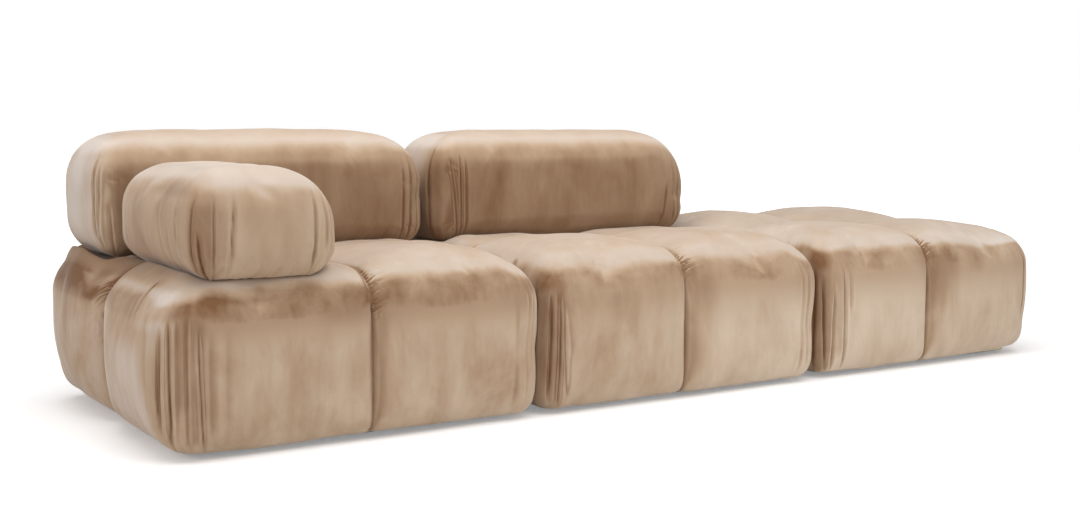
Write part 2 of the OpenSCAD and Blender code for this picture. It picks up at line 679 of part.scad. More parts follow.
left() tuft_tie();  // tuft_tie_left
tuft_tie();  // tuft_tie_middle
right() tuft_tie();  // tuft_tie_right
left() sleeves(back_posts(-1));  // back_sleeves_left
sleeves(back_posts(1));  // back_sleeves_middle
left() sleeves(ARM_POSTS);  // arm_sleeves
left() sleeve_screws(back_posts(-1));  // back_sleeve_screws_left
sleeve_screws(back_posts(1));  // back_sleeve_screws_middle
left() sleeve_screws(ARM_POSTS);  // arm_sleeve_screws
clip_jaws(-1);  // clip_jaws_left
clip_jaws(1);  // clip_jaws_right
left() clip_tongues(1);  // clip_tongues_left
right() clip_tongues(-1);  // clip_tongues_right
left() clip_screws([1]);  // clip_screws_left
clip_screws([-1, 1]);  // clip_screws_middle
right() clip_screws([-1]);  // clip_screws_right
left() on_back(-1) loaf_cover(BACK);  // back_cover_left
on_back(1) loaf_cover(BACK);  // back_cover_middle
left() on_arm() loaf_cover(ARM);  // arm_cover
left() on_back(-1) loaf_foam(BACK, BACK_FLANGES);  // back_foam_left
on_back(1) loaf_foam(BACK, BACK_FLANGES);  // back_foam_middle
left() on_arm() loaf_foam(ARM, ARM_FLANGES);  // arm_foam
left() on_back(-1) loaf_board(BACK, BACK_FLANGES);  // back_board_left
on_back(1) loaf_board(BACK, BACK_FLANGES);  // back_board_middle
left() on_arm() loaf_board(ARM, ARM_FLANGES);  // arm_board
left() on_back(-1) loaf_posts(BACK_FLANGES);  // back_posts_left
on_back(1) loaf_posts(BACK_FLANGES);  // back_posts_middle
left() on_arm() loaf_posts(ARM_FLANGES);  // arm_posts
left() on_back(-1) loaf_screws(BACK_FLANGES);  // back_post_screws_left
on_back(1) loaf_screws(BACK_FLANGES);  // back_post_screws_middle
left() on_arm() loaf_screws(ARM_FLANGES);  // arm_post_screws
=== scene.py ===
import json
from math import cos, pi, radians, sin

import bmesh
import bpy
import numpy as np
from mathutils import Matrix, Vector


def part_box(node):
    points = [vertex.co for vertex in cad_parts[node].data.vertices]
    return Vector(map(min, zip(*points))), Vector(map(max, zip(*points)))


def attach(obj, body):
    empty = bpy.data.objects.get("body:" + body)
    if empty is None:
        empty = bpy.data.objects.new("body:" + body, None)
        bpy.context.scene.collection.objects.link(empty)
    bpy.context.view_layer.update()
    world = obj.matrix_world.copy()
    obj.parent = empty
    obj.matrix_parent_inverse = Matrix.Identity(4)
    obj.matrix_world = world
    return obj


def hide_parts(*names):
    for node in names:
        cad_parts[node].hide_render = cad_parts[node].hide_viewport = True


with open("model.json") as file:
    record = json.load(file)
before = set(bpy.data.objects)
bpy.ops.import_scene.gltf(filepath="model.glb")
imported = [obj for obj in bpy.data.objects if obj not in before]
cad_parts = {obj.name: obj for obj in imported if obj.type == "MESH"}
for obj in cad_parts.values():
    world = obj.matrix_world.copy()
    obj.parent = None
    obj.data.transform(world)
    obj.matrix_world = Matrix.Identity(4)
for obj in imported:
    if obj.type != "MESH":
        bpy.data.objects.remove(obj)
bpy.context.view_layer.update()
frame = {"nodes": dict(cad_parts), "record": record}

# Camera, level with the tops of the back cushions, in front of the row and left of it, as in the photograph.
# It looks down by 5.7 degrees through a lens of about 45 mm.
PHOTO_WIDTH = 1080
FOCAL_PIXELS = 1343
camera_data = bpy.data.cameras.new("camera")
camera_data.sensor_width = 36
camera_data.lens = camera_data.sensor_width * FOCAL_PIXELS / PHOTO_WIDTH
camera = bpy.data.objects.new("camera", camera_data)
camera.location = (-2.259, -3.328, 0.740)
camera.rotation_euler = (radians(90 - 5.656), 0, radians(-31.915))
bpy.context.scene.collection.objects.link(camera)
bpy.context.scene.camera = camera

# Seat covers: quilted velvet over wadding, closed round a foam block and stapled under its frame.
# Each is sewn through along a cross, which leaves four full lobes and a sunk seam down each side.
# The back and arm cushions press beds into the lobes under them.
MODULES = ("left", "middle", "right")
seat_lo, seat_hi = (np.array(corner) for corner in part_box("seat_cover_middle"))

# The module's place in the row, its plain form inside the CAD cover, and the height of its sewn cross
PITCH = 0.950
SIDE_SWELL = 0.004
SEAT_HALF_X = (seat_hi[0] - seat_lo[0]) / 2 - SIDE_SWELL
SEAT_HALF_Y = (seat_hi[1] - seat_lo[1]) / 2 - SIDE_SWELL
SEAT_FLOOR = seat_lo[2]
SEAM_HEIGHT = 0.407
# Radii of the upper edge, of the upright corners below and above it, and of the hem that turns in below
EDGE_R = 0.106
CORNER_R = 0.070
CAP_CORNER_R = 0.030
HEM_R = 0.044
HEM_TURN = 0.052
HEM_END = 0.060
DUST_CLOTH_TOP = SEAT_FLOOR + 0.0015
# How far the lobes stand up and the ends of the row swell outwards, and how soon an end rises to its fullest
LOBE_CROWN = 0.024
END_SWELL = {"left": 0.042, "middle": SIDE_SWELL, "right": 0.026}
END_FULLNESS = {"left": 0.6, "middle": 1.4, "right": 1.4}
REAR_SWELL = {"left": 0.018, "middle": 0, "right": 0}
# The filling's pressure, the most that it moves the velvet, and the cells round half of an upright corner
SEAT_PRESSURE = 4
PUFF_REACH = 0.016
SEAT_STEPS = 4
# How far the sewn cross lies off the middle of its module, and the right sides bulge over their neighbours
SEAM_SHIFT = {"left": 0.005, "middle": -0.017, "right": -0.030}
SIDE_SEAM_SHIFT = {"left": 0.032, "middle": 0, "right": 0}
NEIGHBOUR_GAP = 0.0005
NEIGHBOUR_BOW = 0.013

# Beds under the loose cushions, and how far the velvet round them sinks with them
BED_GAP = 0.0004
BED_MARGIN = 0.007
BED_BLEND = 0.006
SINK = {"back_cover_left": 0.018, "back_cover_middle": 0.018, "arm_cover": 0.006}
SINK_REACH = 0.10
# Radii of the loose cushions: of the lower and upper ends, and of the lower long edges
BACK_LOW_R, BACK_EDGE_R = 0.080, 0.050
ARM_LOW_R, ARM_TOP_R, ARM_EDGE_R = 0.066, 0.090, 0.036
# The posts' flanges, and the holes for the posts
FLANGE_R = 0.035
HOLE_R = 0.0135
HOLE_SIDES = 32
DRILL_LENGTH = 0.6
# The sleeves in each seat, and the cushions that stand on it
SLEEVES = {"left": ("back_sleeves_left", "arm_sleeves"), "middle": ("back_sleeves_middle",), "right": ()}
CUSHIONS_ON = {
    "left": (("back_cover_left", BACK_LOW_R, BACK_EDGE_R), ("arm_cover", ARM_LOW_R, ARM_EDGE_R)),
    "middle": (("back_cover_middle", BACK_LOW_R, BACK_EDGE_R),),
    "right": (),
}


def graded(*zones):
    """Fractions along half a side from zones of (length, number of cells), mirrored about its middle"""
    half = [0.0]
    for length, cells in zones:
        half += [half[-1] + length * (k + 1) / cells for k in range(cells)]
    half = np.array(half) / half[-1]
    return np.concatenate([0.5 - 0.5 * half[::-1], 0.5 + 0.5 * half[1:]])


def corner_arc(r, t):
    """Offsets from the two sides of a corner, at an angle t from the side"""
    return r * (1 - np.sin(t)), r * (1 - np.cos(t))


def side_run(half, depth, r_start, r_end, fractions, steps):
    """One side of a rounded rectangle, from the middle of one corner's arc to the middle of the next"""
    t = radians(45) * (1 - np.arange(steps) / steps)
    dx, dy = corner_arc(r_start, t)
    start = np.stack([dx - half, dy - depth], axis=1)
    x = -half + r_start + (2 * half - r_start - r_end) * fractions
    straight = np.stack([x, np.full_like(x, -depth)], axis=1)
    t = radians(45) * np.arange(1, steps) / steps
    dx, dy = corner_arc(r_end, t)
    end = np.stack([half - dx, dy - depth], axis=1)
    return np.concatenate([start, straight, end])


def ring(half_x, half_y, radii, across, along, steps):
    """A rounded rectangle, counter-clockwise from its lower left corner, as its radii are given"""
    low_left, low_right, high_right, high_left = radii
    low = side_run(half_x, half_y, low_left, low_right, across, steps)
    right = side_run(half_y, half_x, low_right, high_right, along, steps)
    high = side_run(half_x, half_y, high_right, high_left, 1 - across[::-1], steps)
    left = side_run(half_y, half_x, high_left, low_left, 1 - along[::-1], steps)
    return np.concatenate([low, right[:, ::-1] * (-1, 1), -high, left[:, ::-1] * (1, -1)])


def cap_points(rim, across, along):
    """Points inside a ring, on the crossings of the lines that join its opposite points"""
    low = rim[1:across]
    high = rim[2 * across + along - np.arange(1, across)]
    right = rim[across + np.arange(1, along)]
    left = rim[2 * across + 2 * along - np.arange(1, along)]
    v = ((right[:, 1] + left[:, 1]) / 2 - low[:, 1].min()) / (high[:, 1].max() - low[:, 1].min())
    u = ((low[:, 0] + high[:, 0]) / 2 - left[:, 0].min()) / (right[:, 0].max() - left[:, 0].min())
    x = low[None, :, 0] + (high - low)[None, :, 0] * v[:, None]
    y = left[:, None, 1] + (right - left)[:, None, 1] * u[None, :]
    return np.stack([x.ravel(), y.ravel()], axis=1)


def skin_faces(rows, across, along, low_cap=True):
    """Quads over rows of rings, with a cap on the last ring, and one on the first if low_cap"""
    count = 2 * (across + along)
    k, i = np.meshgrid(np.arange(rows - 1), np.arange(count), indexing="ij")
    a = (k * count + i).ravel()
    b = (k * count + (i + 1) % count).ravel()
    quads = [np.stack([a, b, b + count, a + count], axis=1)]
    caps = [((rows - 1) * count, rows * count, 1)]
    if low_cap:
        caps.append((0, rows * count + (across - 1) * (along - 1), -1))
    for first, inner, turn in caps:
        ids = np.zeros((along + 1, across + 1), int)
        ids[0, :] = first + np.arange(across + 1)
        ids[:, across] = first + across + np.arange(along + 1)
        ids[along, :] = first + 2 * across + along - np.arange(across + 1)
        ids[1:, 0] = first + (2 * across + 2 * along - np.arange(1, along + 1))
        ids[1:along, 1:across] = inner + np.arange((across - 1) * (along - 1)).reshape(along - 1, -1)
        quad = np.stack([ids[:-1, :-1], ids[:-1, 1:], ids[1:, 1:], ids[1:, :-1]], axis=-1)
        quads.append(quad.reshape(-1, 4)[:, ::turn])
    return np.concatenate(quads)


def lobe(t, power=4.5):
    """Fullness of a lobe: 0 at its seam and its outer side, 1 in its middle"""
    return 1 - np.abs(2 * np.minimum(np.abs(t), 1) - 1) ** power


def smoothstep(x, low, high):
    """0 up to low, 1 from high, and a smooth rise between them"""
    t = np.clip((x - low) / (high - low), 0, 1)
    return t * t * (3 - 2 * t)


def lower_of(a, b, blend):
    """The lower of two heights, rounded off where they meet"""
    h = np.clip(0.5 + 0.5 * (b - a) / blend, 0, 1)
    return b + (a - b) * h - blend * h * (1 - h)


def coords(obj):
    """Places of a mesh's vertices, one row each"""
    co = np.empty(3 * len(obj.data.vertices))
    obj.data.vertices.foreach_get("co", co)
    return co.reshape(-1, 3)


def set_coords(obj, co):
    obj.data.vertices.foreach_set("co", co.ravel())
    obj.data.update()


def normals(obj):
    n = np.empty(3 * len(obj.data.vertices))
    obj.data.vertices.foreach_get("normal", n)
    return n.reshape(-1, 3)


def new_piece(name, points, faces):
    """A piece with a smooth mesh of the given points and faces"""
    mesh = bpy.data.meshes.new(name)
    mesh.from_pydata(points.tolist(), [], faces.tolist())
    mesh.polygons.foreach_set("use_smooth", [True] * len(mesh.polygons))
    obj = bpy.data.objects.new(name, mesh)
    bpy.context.scene.collection.objects.link(obj)
    return obj


def baked(obj):
    """Applies the modifiers of obj to its mesh"""
    evaluated = obj.evaluated_get(bpy.context.evaluated_depsgraph_get())
    mesh = bpy.data.meshes.new_from_object(evaluated)
    obj.modifiers.clear()
    obj.data = mesh
    return obj


CLOTH_FRAMES = 20


def puff(obj, held, pressure, reach):
    """Swells a cover with the pressure of its filling. The held vertices are sewn or stapled down."""
    start = coords(obj)
    pins = obj.vertex_groups.new(name="sewn")
    pins.add(np.nonzero(held)[0].tolist(), 1.0, "REPLACE")
    cloth = obj.modifiers.new("cloth", "CLOTH")
    cloth.settings.use_pressure = True
    cloth.settings.uniform_pressure_force = pressure
    cloth.settings.vertex_group_mass = "sewn"
    cloth.settings.effector_weights.gravity = 0
    cloth.collision_settings.use_collision = False
    scene = bpy.context.scene
    for step in range(1, CLOTH_FRAMES + 1):
        scene.frame_set(step)
    baked(obj)
    scene.frame_set(1)
    obj.vertex_groups.clear()
    moved = coords(obj) - start
    far = np.linalg.norm(moved, axis=1)[:, None]
    set_coords(obj, start + moved * reach * np.tanh(far / reach) / np.maximum(far, 1e-9))


def refine(obj, levels):
    """Subdivides a piece and leaves a plain mesh"""
    subdivision = obj.modifiers.new("subdivision", "SUBSURF")
    subdivision.levels = levels
    subdivision.render_levels = levels
    baked(obj)


def close_below(obj):
    """Fills the one hole under a skin with a flat face"""
    form = bmesh.new()
    form.from_mesh(obj.data)
    rim = [edge for edge in form.edges if edge.is_boundary]
    face = bmesh.ops.contextual_create(form, geom=rim)["faces"][0]
    face.normal_update()
    if face.normal.z > 0:
        face.normal_flip()
    form.to_mesh(obj.data)
    form.free()


def underside(x, y, lo, hi, end_r, edge_r):
    """Height of a loose cushion's rounded underside over its bed, which is a little wider than it"""
    def rise(depth, r):
        d = np.clip(r - depth - BED_MARGIN, 0, r)
        return np.where(depth < -BED_MARGIN, 1.0, r - np.sqrt(r * r - d * d))

    over_ends = rise(np.minimum(x - lo.x, hi.x - x), end_r)
    over_edges = rise(np.minimum(y - lo.y, hi.y - y), edge_r)
    return np.maximum(over_ends, over_edges)


# Cells along each side of a seat, closer together by the seam and towards the corners
SEAT_FRACTIONS = graded((0.04, 4), (0.22, 4), (0.14, 9))
SEAT_SIDE = len(SEAT_FRACTIONS) - 1 + 2 * SEAT_STEPS


def side_bow(z):
    """How far a module's right side bulges over its neighbour, which gives way as much"""
    return NEIGHBOUR_BOW * np.sin(pi * np.clip((z - SEAT_FLOOR) / (SEAM_HEIGHT - SEAT_FLOOR), 0, 1)) ** 0.6


def seat_rows():
    """Rows up a seat's skin: inset from its side, height, and angle over its hem or its edge"""
    turned_in = [(HEM_END, DUST_CLOTH_TOP, radians(-90)), (HEM_TURN, SEAT_FLOOR, radians(-90))]
    under = np.radians((-90, -60, -30, 0))
    hem = [(HEM_R * (1 - cos(a)), SEAT_FLOOR + HEM_R * (1 + sin(a)), a) for a in under]
    wall = [(0, z, 0) for z in np.linspace(SEAT_FLOOR + HEM_R, SEAM_HEIGHT - EDGE_R, 7)[1:-1]]
    over = np.radians(np.linspace(0, 90, 15))
    edge = [(EDGE_R * (1 - cos(a)), SEAM_HEIGHT - EDGE_R * (1 - sin(a)), a) for a in over]
    return turned_in + hem + wall + edge


def seat_skin(module):
    """Points of a seat's skin, round its own middle, and its faces"""
    rows = seat_rows()
    points = []
    for inset, height, angle in rows:
        hx, hy = SEAT_HALF_X - inset, SEAT_HALF_Y - inset
        r = CORNER_R - inset if angle < 0 else CORNER_R + (CAP_CORNER_R - CORNER_R) * inset / EDGE_R
        p = ring(hx, hy, (r, r, r, r), SEAT_FRACTIONS, SEAT_FRACTIONS, SEAT_STEPS)
        q = p - np.stack([np.clip(p[:, 0], r - hx, hx - r), np.clip(p[:, 1], r - hy, hy - r)], axis=1)
        n = q / np.linalg.norm(q, axis=1)[:, None]
        outer = np.where(n[:, 0] < 0, module == "left", module == "right")
        swell = END_SWELL[module] + np.where(p[:, 1] > 0, REAR_SWELL[module], 0)
        full = np.where(outer, swell, 0) * np.abs(n[:, 0]) * lobe(p[:, 1] / SEAT_HALF_Y, 6)
        share = (height - SEAT_FLOOR) / (SEAM_HEIGHT - SEAT_FLOOR)
        rise = sin(pi * share) ** END_FULLNESS[module]
        xy = p + n * (cos(angle) * full * rise)[:, None]
        lift = max(sin(angle), 0) * LOBE_CROWN * lobe(xy[:, 0] / SEAT_HALF_X) * lobe(xy[:, 1] / SEAT_HALF_Y)
        points.append(np.column_stack([xy, height + lift]))
    top = cap_points(points[-1][:, :2], SEAT_SIDE, SEAT_SIDE)
    lift = LOBE_CROWN * lobe(top[:, 0] / SEAT_HALF_X) * lobe(top[:, 1] / SEAT_HALF_Y)
    points.append(np.column_stack([top, SEAM_HEIGHT + lift]))
    return np.concatenate(points), skin_faces(len(rows), SEAT_SIDE, SEAT_SIDE, low_cap=False)


def girth(x, y, half_x, half_y, r):
    """Distance round a block from the middle of its front, less than 0 on its left"""
    core_x, core_y = half_x - r, half_y - r
    across = np.abs(x)
    dx = np.maximum(across - core_x, 0)
    dy = y - np.clip(y, -core_y, core_y)
    turn = np.where((dx > 0) | (dy != 0), np.arctan2(dx, -dy), 0)
    along_x = np.where((y > 0) & (across < core_x), 2 * core_x - across, np.minimum(across, core_x))
    return np.sign(x) * (along_x + r * turn + np.clip(y, -core_y, core_y) + core_y)


def climb(x, y, z, half_x, half_y, r, floor, middle):
    """Distance up a block's side, which goes on over its upper edge and in under its lower one"""
    dx = np.maximum(np.abs(x) - half_x + r, 0)
    dy = np.maximum(np.abs(y) - half_y + r, 0)
    inset = np.maximum(r - np.hypot(dx, dy), 0)
    return z - floor + np.where(z > middle, inset, -inset)


# Share of the depth in the tables that every fold is drawn with
FOLD_DEPTH = 1.2


def fold(g, t, at, low, high, depth, width, lean=0.0, bow=0.0, ridge=0.28):
    """Relief of a crease that climbs a side, with a soft ridge along it, fading at both ends"""
    u = (t - low) / (high - low)
    v = (g - at - lean * (u - 0.5) - bow * (1 - (2 * u - 1) ** 2)) / (0.75 * width)
    fade = smoothstep(u, 0.0, 0.25) * smoothstep(-u, -1.0, -0.72)
    crease = -np.exp(-np.abs(v) ** 1.4)
    swell = np.exp(-((v - 2.6) / 1.7) ** 2) + 0.6 * np.exp(-((v + 2.4) / 1.5) ** 2)
    return FOLD_DEPTH * depth * fade * (crease + ridge * swell)


def puckers(along, across, start, end, pitch, reach, depth, slant=0.0):
    """Relief of the short gathers that run away from a sewn or drawn edge"""
    inside = smoothstep(along, start, start + pitch) * smoothstep(-along, -end, -end + pitch)
    phase = (along + slant * across) / pitch + 0.22 * np.sin(along * 97) + 0.15 * np.sin(along * 231 + 2)
    wave = (0.5 + 0.5 * np.cos(2 * pi * phase)) ** 2
    length = reach * (0.75 + 0.35 * np.sin(np.floor(phase + 0.5) * 2.4))
    return -depth * inside * wave * smoothstep(across, 0, 0.002) * np.exp(-(across / length) ** 2)


SLACK_WAVES = 7


def slack(co, size, depth, seed):
    """Relief of loose velvet: a few long waves in all directions"""
    draw = np.random.default_rng(seed)
    total = np.zeros(len(co))
    for _ in range(SLACK_WAVES):
        way = draw.normal(size=3) * (1, 1, 0.45)
        way = way / np.linalg.norm(way)
        length = size * draw.uniform(0.7, 1.5)
        total += np.sin(co @ way * 2 * pi / length + draw.uniform(0, 2 * pi))
    return depth * total / SLACK_WAVES ** 0.5


# Folds of each seat: place round its side, lower and upper end, depth, width, lean and, if it has one, bow
SEAT_FOLDS = {
    "left": (
        (-0.4745, 0.03, 0.33, 0.0085, 0.004, 0.006), (-0.458, -0.02, 0.37, 0.0078, 0.0036, 0.006, 0.002),
        (-0.505, 0.06, 0.33, 0.0022, 0.005, -0.01), (-0.4265, -0.03, 0.35, 0.0018, 0.0026, 0.004),
        (-0.4045, -0.04, 0.31, 0.0045, 0.0038, -0.006), (-0.388, 0.0, 0.3, 0.0018, 0.009, 0.004),
        (-0.356, 0.0, 0.31, 0.0016, 0.013, 0.006), (-0.587, 0.3, 0.42, 0.005, 0.006, 0.004),
        (0.418, 0.0, 0.38, 0.0026, 0.0044, 0.012, 0.003), (0.438, 0.02, 0.36, 0.0036, 0.0042, -0.004),
        (0.386, 0.0, 0.33, 0.0018, 0.007, 0.01), (0.46, 0.0, 0.35, 0.0045, 0.005, 0.004, 0.002),
    ),
    "middle": (
        (-0.485, -0.03, 0.37, 0.007, 0.005, 0.028), (-0.436, 0.0, 0.33, 0.0065, 0.0042, 0.012),
        (-0.416, -0.01, 0.31, 0.0065, 0.004, 0.01, 0.004), (-0.399, 0.0, 0.31, 0.003, 0.006, -0.006),
        (0.398, 0.0, 0.37, 0.004, 0.004, 0.01), (0.417, 0.0, 0.36, 0.0055, 0.0042, -0.004),
        (0.435, 0.02, 0.34, 0.005, 0.004, -0.008), (0.452, 0.0, 0.34, 0.006, 0.0045, -0.008),
    ),
    "right": (
        (-0.437, 0.0, 0.31, 0.0065, 0.0045, -0.01), (-0.411, -0.02, 0.29, 0.005, 0.004, 0.01, 0.003),
        (-0.369, -0.04, 0.36, 0.007, 0.0042, -0.01, -0.003), (-0.352, 0.18, 0.34, 0.003, 0.005, 0.008),
        (-0.465, -0.02, 0.36, 0.006, 0.005, 0.004), (0.408, 0.08, 0.37, 0.006, 0.0045, 0.006, 0.012),
        (0.435, 0.0, 0.33, 0.004, 0.005, 0.004, 0.004),
    ),
}
# Gathers beside a seat's seams: where along the seam they start and end, their pitch, reach, depth and slant
FRONT_GATHERS = {
    "left": (0.27, 0.47, 0.011, 0.034, 0.0032, -0.5),
    "middle": (0.33, 0.49, 0.011, 0.034, 0.0032, -0.5),
    "right": (0.33, 0.49, 0.011, 0.034, 0.0032, -0.5),
}
REAR_GATHERS = (0.28, 0.46, 0.013, 0.030, 0.0028, -0.4)
LEFT_GATHERS = (0.17, 0.36, 0.015, 0.040, 0.0032, 1.0)
RIGHT_GATHERS = (0.24, 0.42, 0.014, 0.034, 0.0030, 0.8)
MIDDLE_GATHERS = (0.015, 0.13, 0.014, 0.022, 0.0022, 0.6)
# The radius of a seat's corners for measures round it, and how far in its front, rear and ends reach
SEAT_TURN = 0.12
SIDE_ZONE = 0.16
# Depth of the sewn seams, the deepest that any velvet lies, also over an upper edge, and the depth of crease
# at which its painted shade is darkest
SEAM_DEPTH = 0.010
DEEPEST, DEEPEST_ON_EDGE = 0.017, 0.0098
CREASE_DEPTH = 0.012
# Patches, some of pile that lies the other way and some painted shade, as under the loose cushions: place
# round a seat's side and up it, half width and half height, and how much lighter or darker
SEAT_MARKS = {
    "left": (
        (-0.434, 0.18, 0.015, 0.19, -0.24), (-0.404, 0.18, 0.012, 0.17, -0.12),
        (-0.485, 0.3, 0.022, 0.07, 0.14), (-0.52, 0.335, 0.07, 0.05, 0.34),
        (-0.73, 0.425, 0.22, 0.045, -0.36), (-0.575, 0.405, 0.03, 0.028, -0.12),
        (-0.78, 0.33, 0.1, 0.05, 0.16), (-0.975, 0.345, 0.03, 0.06, -0.2), (-1.2, 0.51, 0.33, 0.195, -0.6),
        (-0.32, 0.385, 0.09, 0.035, -0.2), (-0.07, 0.33, 0.055, 0.05, -0.12),
        (0.06, 0.36, 0.06, 0.05, -0.08), (0.12, 0.12, 0.11, 0.13, 0.1), (0.05, 0.54, 0.25, 0.05, 0.1),
    ),
    "middle": (
        (-0.445, 0.19, 0.048, 0.19, -0.34), (0.36, 0.15, 0.11, 0.17, -0.08), (0.05, 0.22, 0.05, 0.2, -0.18),
    ),
    "right": (
        (-0.448, 0.19, 0.034, 0.19, -0.42), (0.06, 0.28, 0.065, 0.1, -0.2),
        (0.205, 0.335, 0.035, 0.06, -0.14), (0.02, 0.14, 0.05, 0.15, -0.12), (0.38, 0.36, 0.09, 0.06, 0.14),
    ),
}


def pile_and_light_marks(g, t, marks):
    """How much lighter or darker patches are: of pile that lies the other way, of painted shade and of
    painted light
    """
    total = np.zeros(len(g))
    for at, height, half_width, half_height, amount in marks:
        sideways, up = np.abs((g - at) / half_width), np.abs((t - height) / half_height)
        total += amount * np.exp(-sideways ** 4 - up ** 4)
    return total


def seat_relief(module, co):
    """How far a seat's velvet lies off its plain form, how deep in a crease, which sets the painted shade
    there, and how much lighter or darker its patches are
    """
    x, y, z = co.T
    number = MODULES.index(module)
    form = (SEAT_HALF_X, SEAT_HALF_Y, SEAT_TURN)
    g = girth(x, y, *form)
    t = climb(x, y, z, *form, SEAT_FLOOR, SEAM_HEIGHT / 2)
    from_seam = np.minimum(np.abs(x), np.abs(y))
    front = y < -SEAT_HALF_Y + SIDE_ZONE
    by_front_seam = (np.abs(x) < np.abs(y)) & front
    relief = slack(co, 0.28, 0.0016, number) + slack(co, 0.11, 0.0006, 10 + number)
    relief *= smoothstep(from_seam, 0.0, 0.06)
    drawn_in = 0.007 * np.exp(-(from_seam / 0.032) ** 1.5)
    drawn_in *= smoothstep(t, -0.10, 0.34) * smoothstep(-t, -0.46, -0.36)
    relief -= np.where(by_front_seam & (x > 0), drawn_in, 0)
    # The left seat stands full at its outer rear shoulder. The right one is full at the rear, flatter on its
    # outer front lobe and drawn in at the foot of its end. The other two press on the next one to the right.
    if module == "left":
        shoulder = np.exp(-((t - 0.425) / 0.106) ** 2)
        relief += 0.058 * shoulder * smoothstep(-x, 0.28, 0.44) * smoothstep(y, 0.03, 0.26)
    if module == "right":
        crown = smoothstep(t, 0.36, 0.50)
        relief += 0.007 * crown * smoothstep(y, 0.05, 0.20)
        relief -= 0.013 * crown * smoothstep(x, 0.12, 0.34) * smoothstep(-y, -0.05, 0.10)
        relief -= 0.010 * smoothstep(-t, -0.08, -0.01) * smoothstep(x, 0.24, 0.42)
    else:
        by_neighbour = smoothstep(x, SEAT_HALF_X - 0.10, SEAT_HALF_X - 0.02)
        relief += 0.020 * side_bow(z) / NEIGHBOUR_BOW * by_neighbour

    loose = relief.copy()
    for placed_fold in SEAT_FOLDS[module]:
        relief += fold(g, t, *placed_fold)
    draw = np.random.default_rng(20 + number)
    rear_corner = SEAT_HALF_X - SEAT_TURN + 2 * (SEAT_HALF_Y - SEAT_TURN) + SEAT_TURN * radians(135)
    for side in (-1, 1):
        for _ in range(4):
            at = side * (rear_corner + draw.uniform(-0.07, 0.07))
            low, high = draw.uniform(-0.03, 0.05), draw.uniform(0.30, 0.38)
            depth, width = draw.uniform(0.003, 0.008), draw.uniform(0.004, 0.007)
            relief += fold(g, t, at, low, high, depth, width, draw.uniform(-0.015, 0.015))
    spread = np.where(by_front_seam & (x < 0), 0.005, 0.008)
    relief -= SEAM_DEPTH * np.exp(-from_seam / spread)
    middle = (np.abs(x) < SIDE_ZONE) & (np.abs(y) < SIDE_ZONE) & (z > SEAM_HEIGHT / 2)
    gathered = (
        (front, t, x, FRONT_GATHERS[module]),
        (y > SEAT_HALF_Y - SIDE_ZONE, t, -x, REAR_GATHERS),
        (x < -SEAT_HALF_X + SIDE_ZONE, t, y, LEFT_GATHERS),
        (x > SEAT_HALF_X - SIDE_ZONE, t, y, RIGHT_GATHERS),
        (middle, np.abs(x), np.abs(y), MIDDLE_GATHERS),
        (middle, np.abs(y), np.abs(x), MIDDLE_GATHERS),
    )
    for zone, along, away, gathers in gathered:
        relief += np.where(zone, puckers(along, away, *gathers), 0)
    on_edge = smoothstep(t, 0.28, 0.34) * smoothstep(-t, -0.52, -0.46)
    relief = np.maximum(relief, -DEEPEST + (DEEPEST - DEEPEST_ON_EDGE) * on_edge)
    return relief, (loose - relief) / CREASE_DEPTH, pile_and_light_marks(g, t, SEAT_MARKS[module])


def note(obj, name, values):
    """Stores a number at each point of the velvet, for its material to use"""
    obj.data.attributes.new(name, "FLOAT", "POINT").data.foreach_set("value", values)


def make_seat(module, offset):
    """A seat cover in its place in the row, with its folds, its beds and its post holes"""
    points, faces = seat_skin(module)
    seat = new_piece("seat_" + module + "_velvet", points, faces)
    x, y, z = points.T
    seam = (np.abs(x) < 1e-4) | (np.abs(y) < 1e-4)
    puff(seat, seam | (z < SEAT_FLOOR + HEM_R / 2), SEAT_PRESSURE, PUFF_REACH)
    refine(seat, 2)
    co = coords(seat)
    relief, crease, pile_and_light = seat_relief(module, co)
    co += normals(seat) * relief[:, None]
    x, y, z = co.T
    x += SEAM_SHIFT[module] * (1 - (x / SEAT_HALF_X) ** 2)
    y += SIDE_SEAM_SHIFT[module] * np.maximum(1 - (y / SEAT_HALF_Y) ** 2, 0) * smoothstep(-x, 0.30, 0.42)
    if module != "left":
        x[:] = np.maximum(x, NEIGHBOUR_GAP - PITCH / 2 + side_bow(z))
    if module != "right":
        x[:] = np.minimum(x, PITCH / 2 - NEIGHBOUR_GAP + side_bow(z))
    x += offset
    for node, end_r, edge_r in CUSHIONS_ON[module]:
        lo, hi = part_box(node)
        beside = np.maximum(np.maximum(lo.x - x, x - hi.x), 0)
        ahead = np.maximum(np.maximum(lo.y - y, y - hi.y), 0)
        to_neighbour = np.where((module == "left") & (x < offset), 0, np.abs(x - offset))
        sunk = SINK[node] * np.exp(-(beside ** 2 + ahead ** 2) / SINK_REACH ** 2)
        z -= sunk * smoothstep(-to_neighbour, -0.43, -0.30) * smoothstep(z, 0.30, 0.43)
        bed = lo.z - BED_GAP + underside(x, y, lo, hi, end_r, edge_r)
        z[:] = np.where(z > SEAM_HEIGHT / 2, lower_of(z, bed, BED_BLEND), z)
    z[:] = np.maximum(z, SEAT_FLOOR)
    set_coords(seat, co)
    # How deep each point lies in a crease, seam or gather, for the painted shade there
    note(seat, "crease", np.clip(crease, 0, 1))
    note(seat, "pile_and_light", pile_and_light)
    close_below(seat)
    cut_post_holes(seat, SLEEVES[module])
    return seat


def post_places(node):
    """Where the two posts or sleeves of a CAD node stand"""
    lo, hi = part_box(node)
    centre = (lo + hi) / 2
    half = (hi - lo) / 2 - Vector((FLANGE_R, FLANGE_R, 0))
    reach = Vector((half.x, 0, 0)) if half.x > half.y else Vector((0, half.y, 0))
    return [centre - reach, centre + reach]


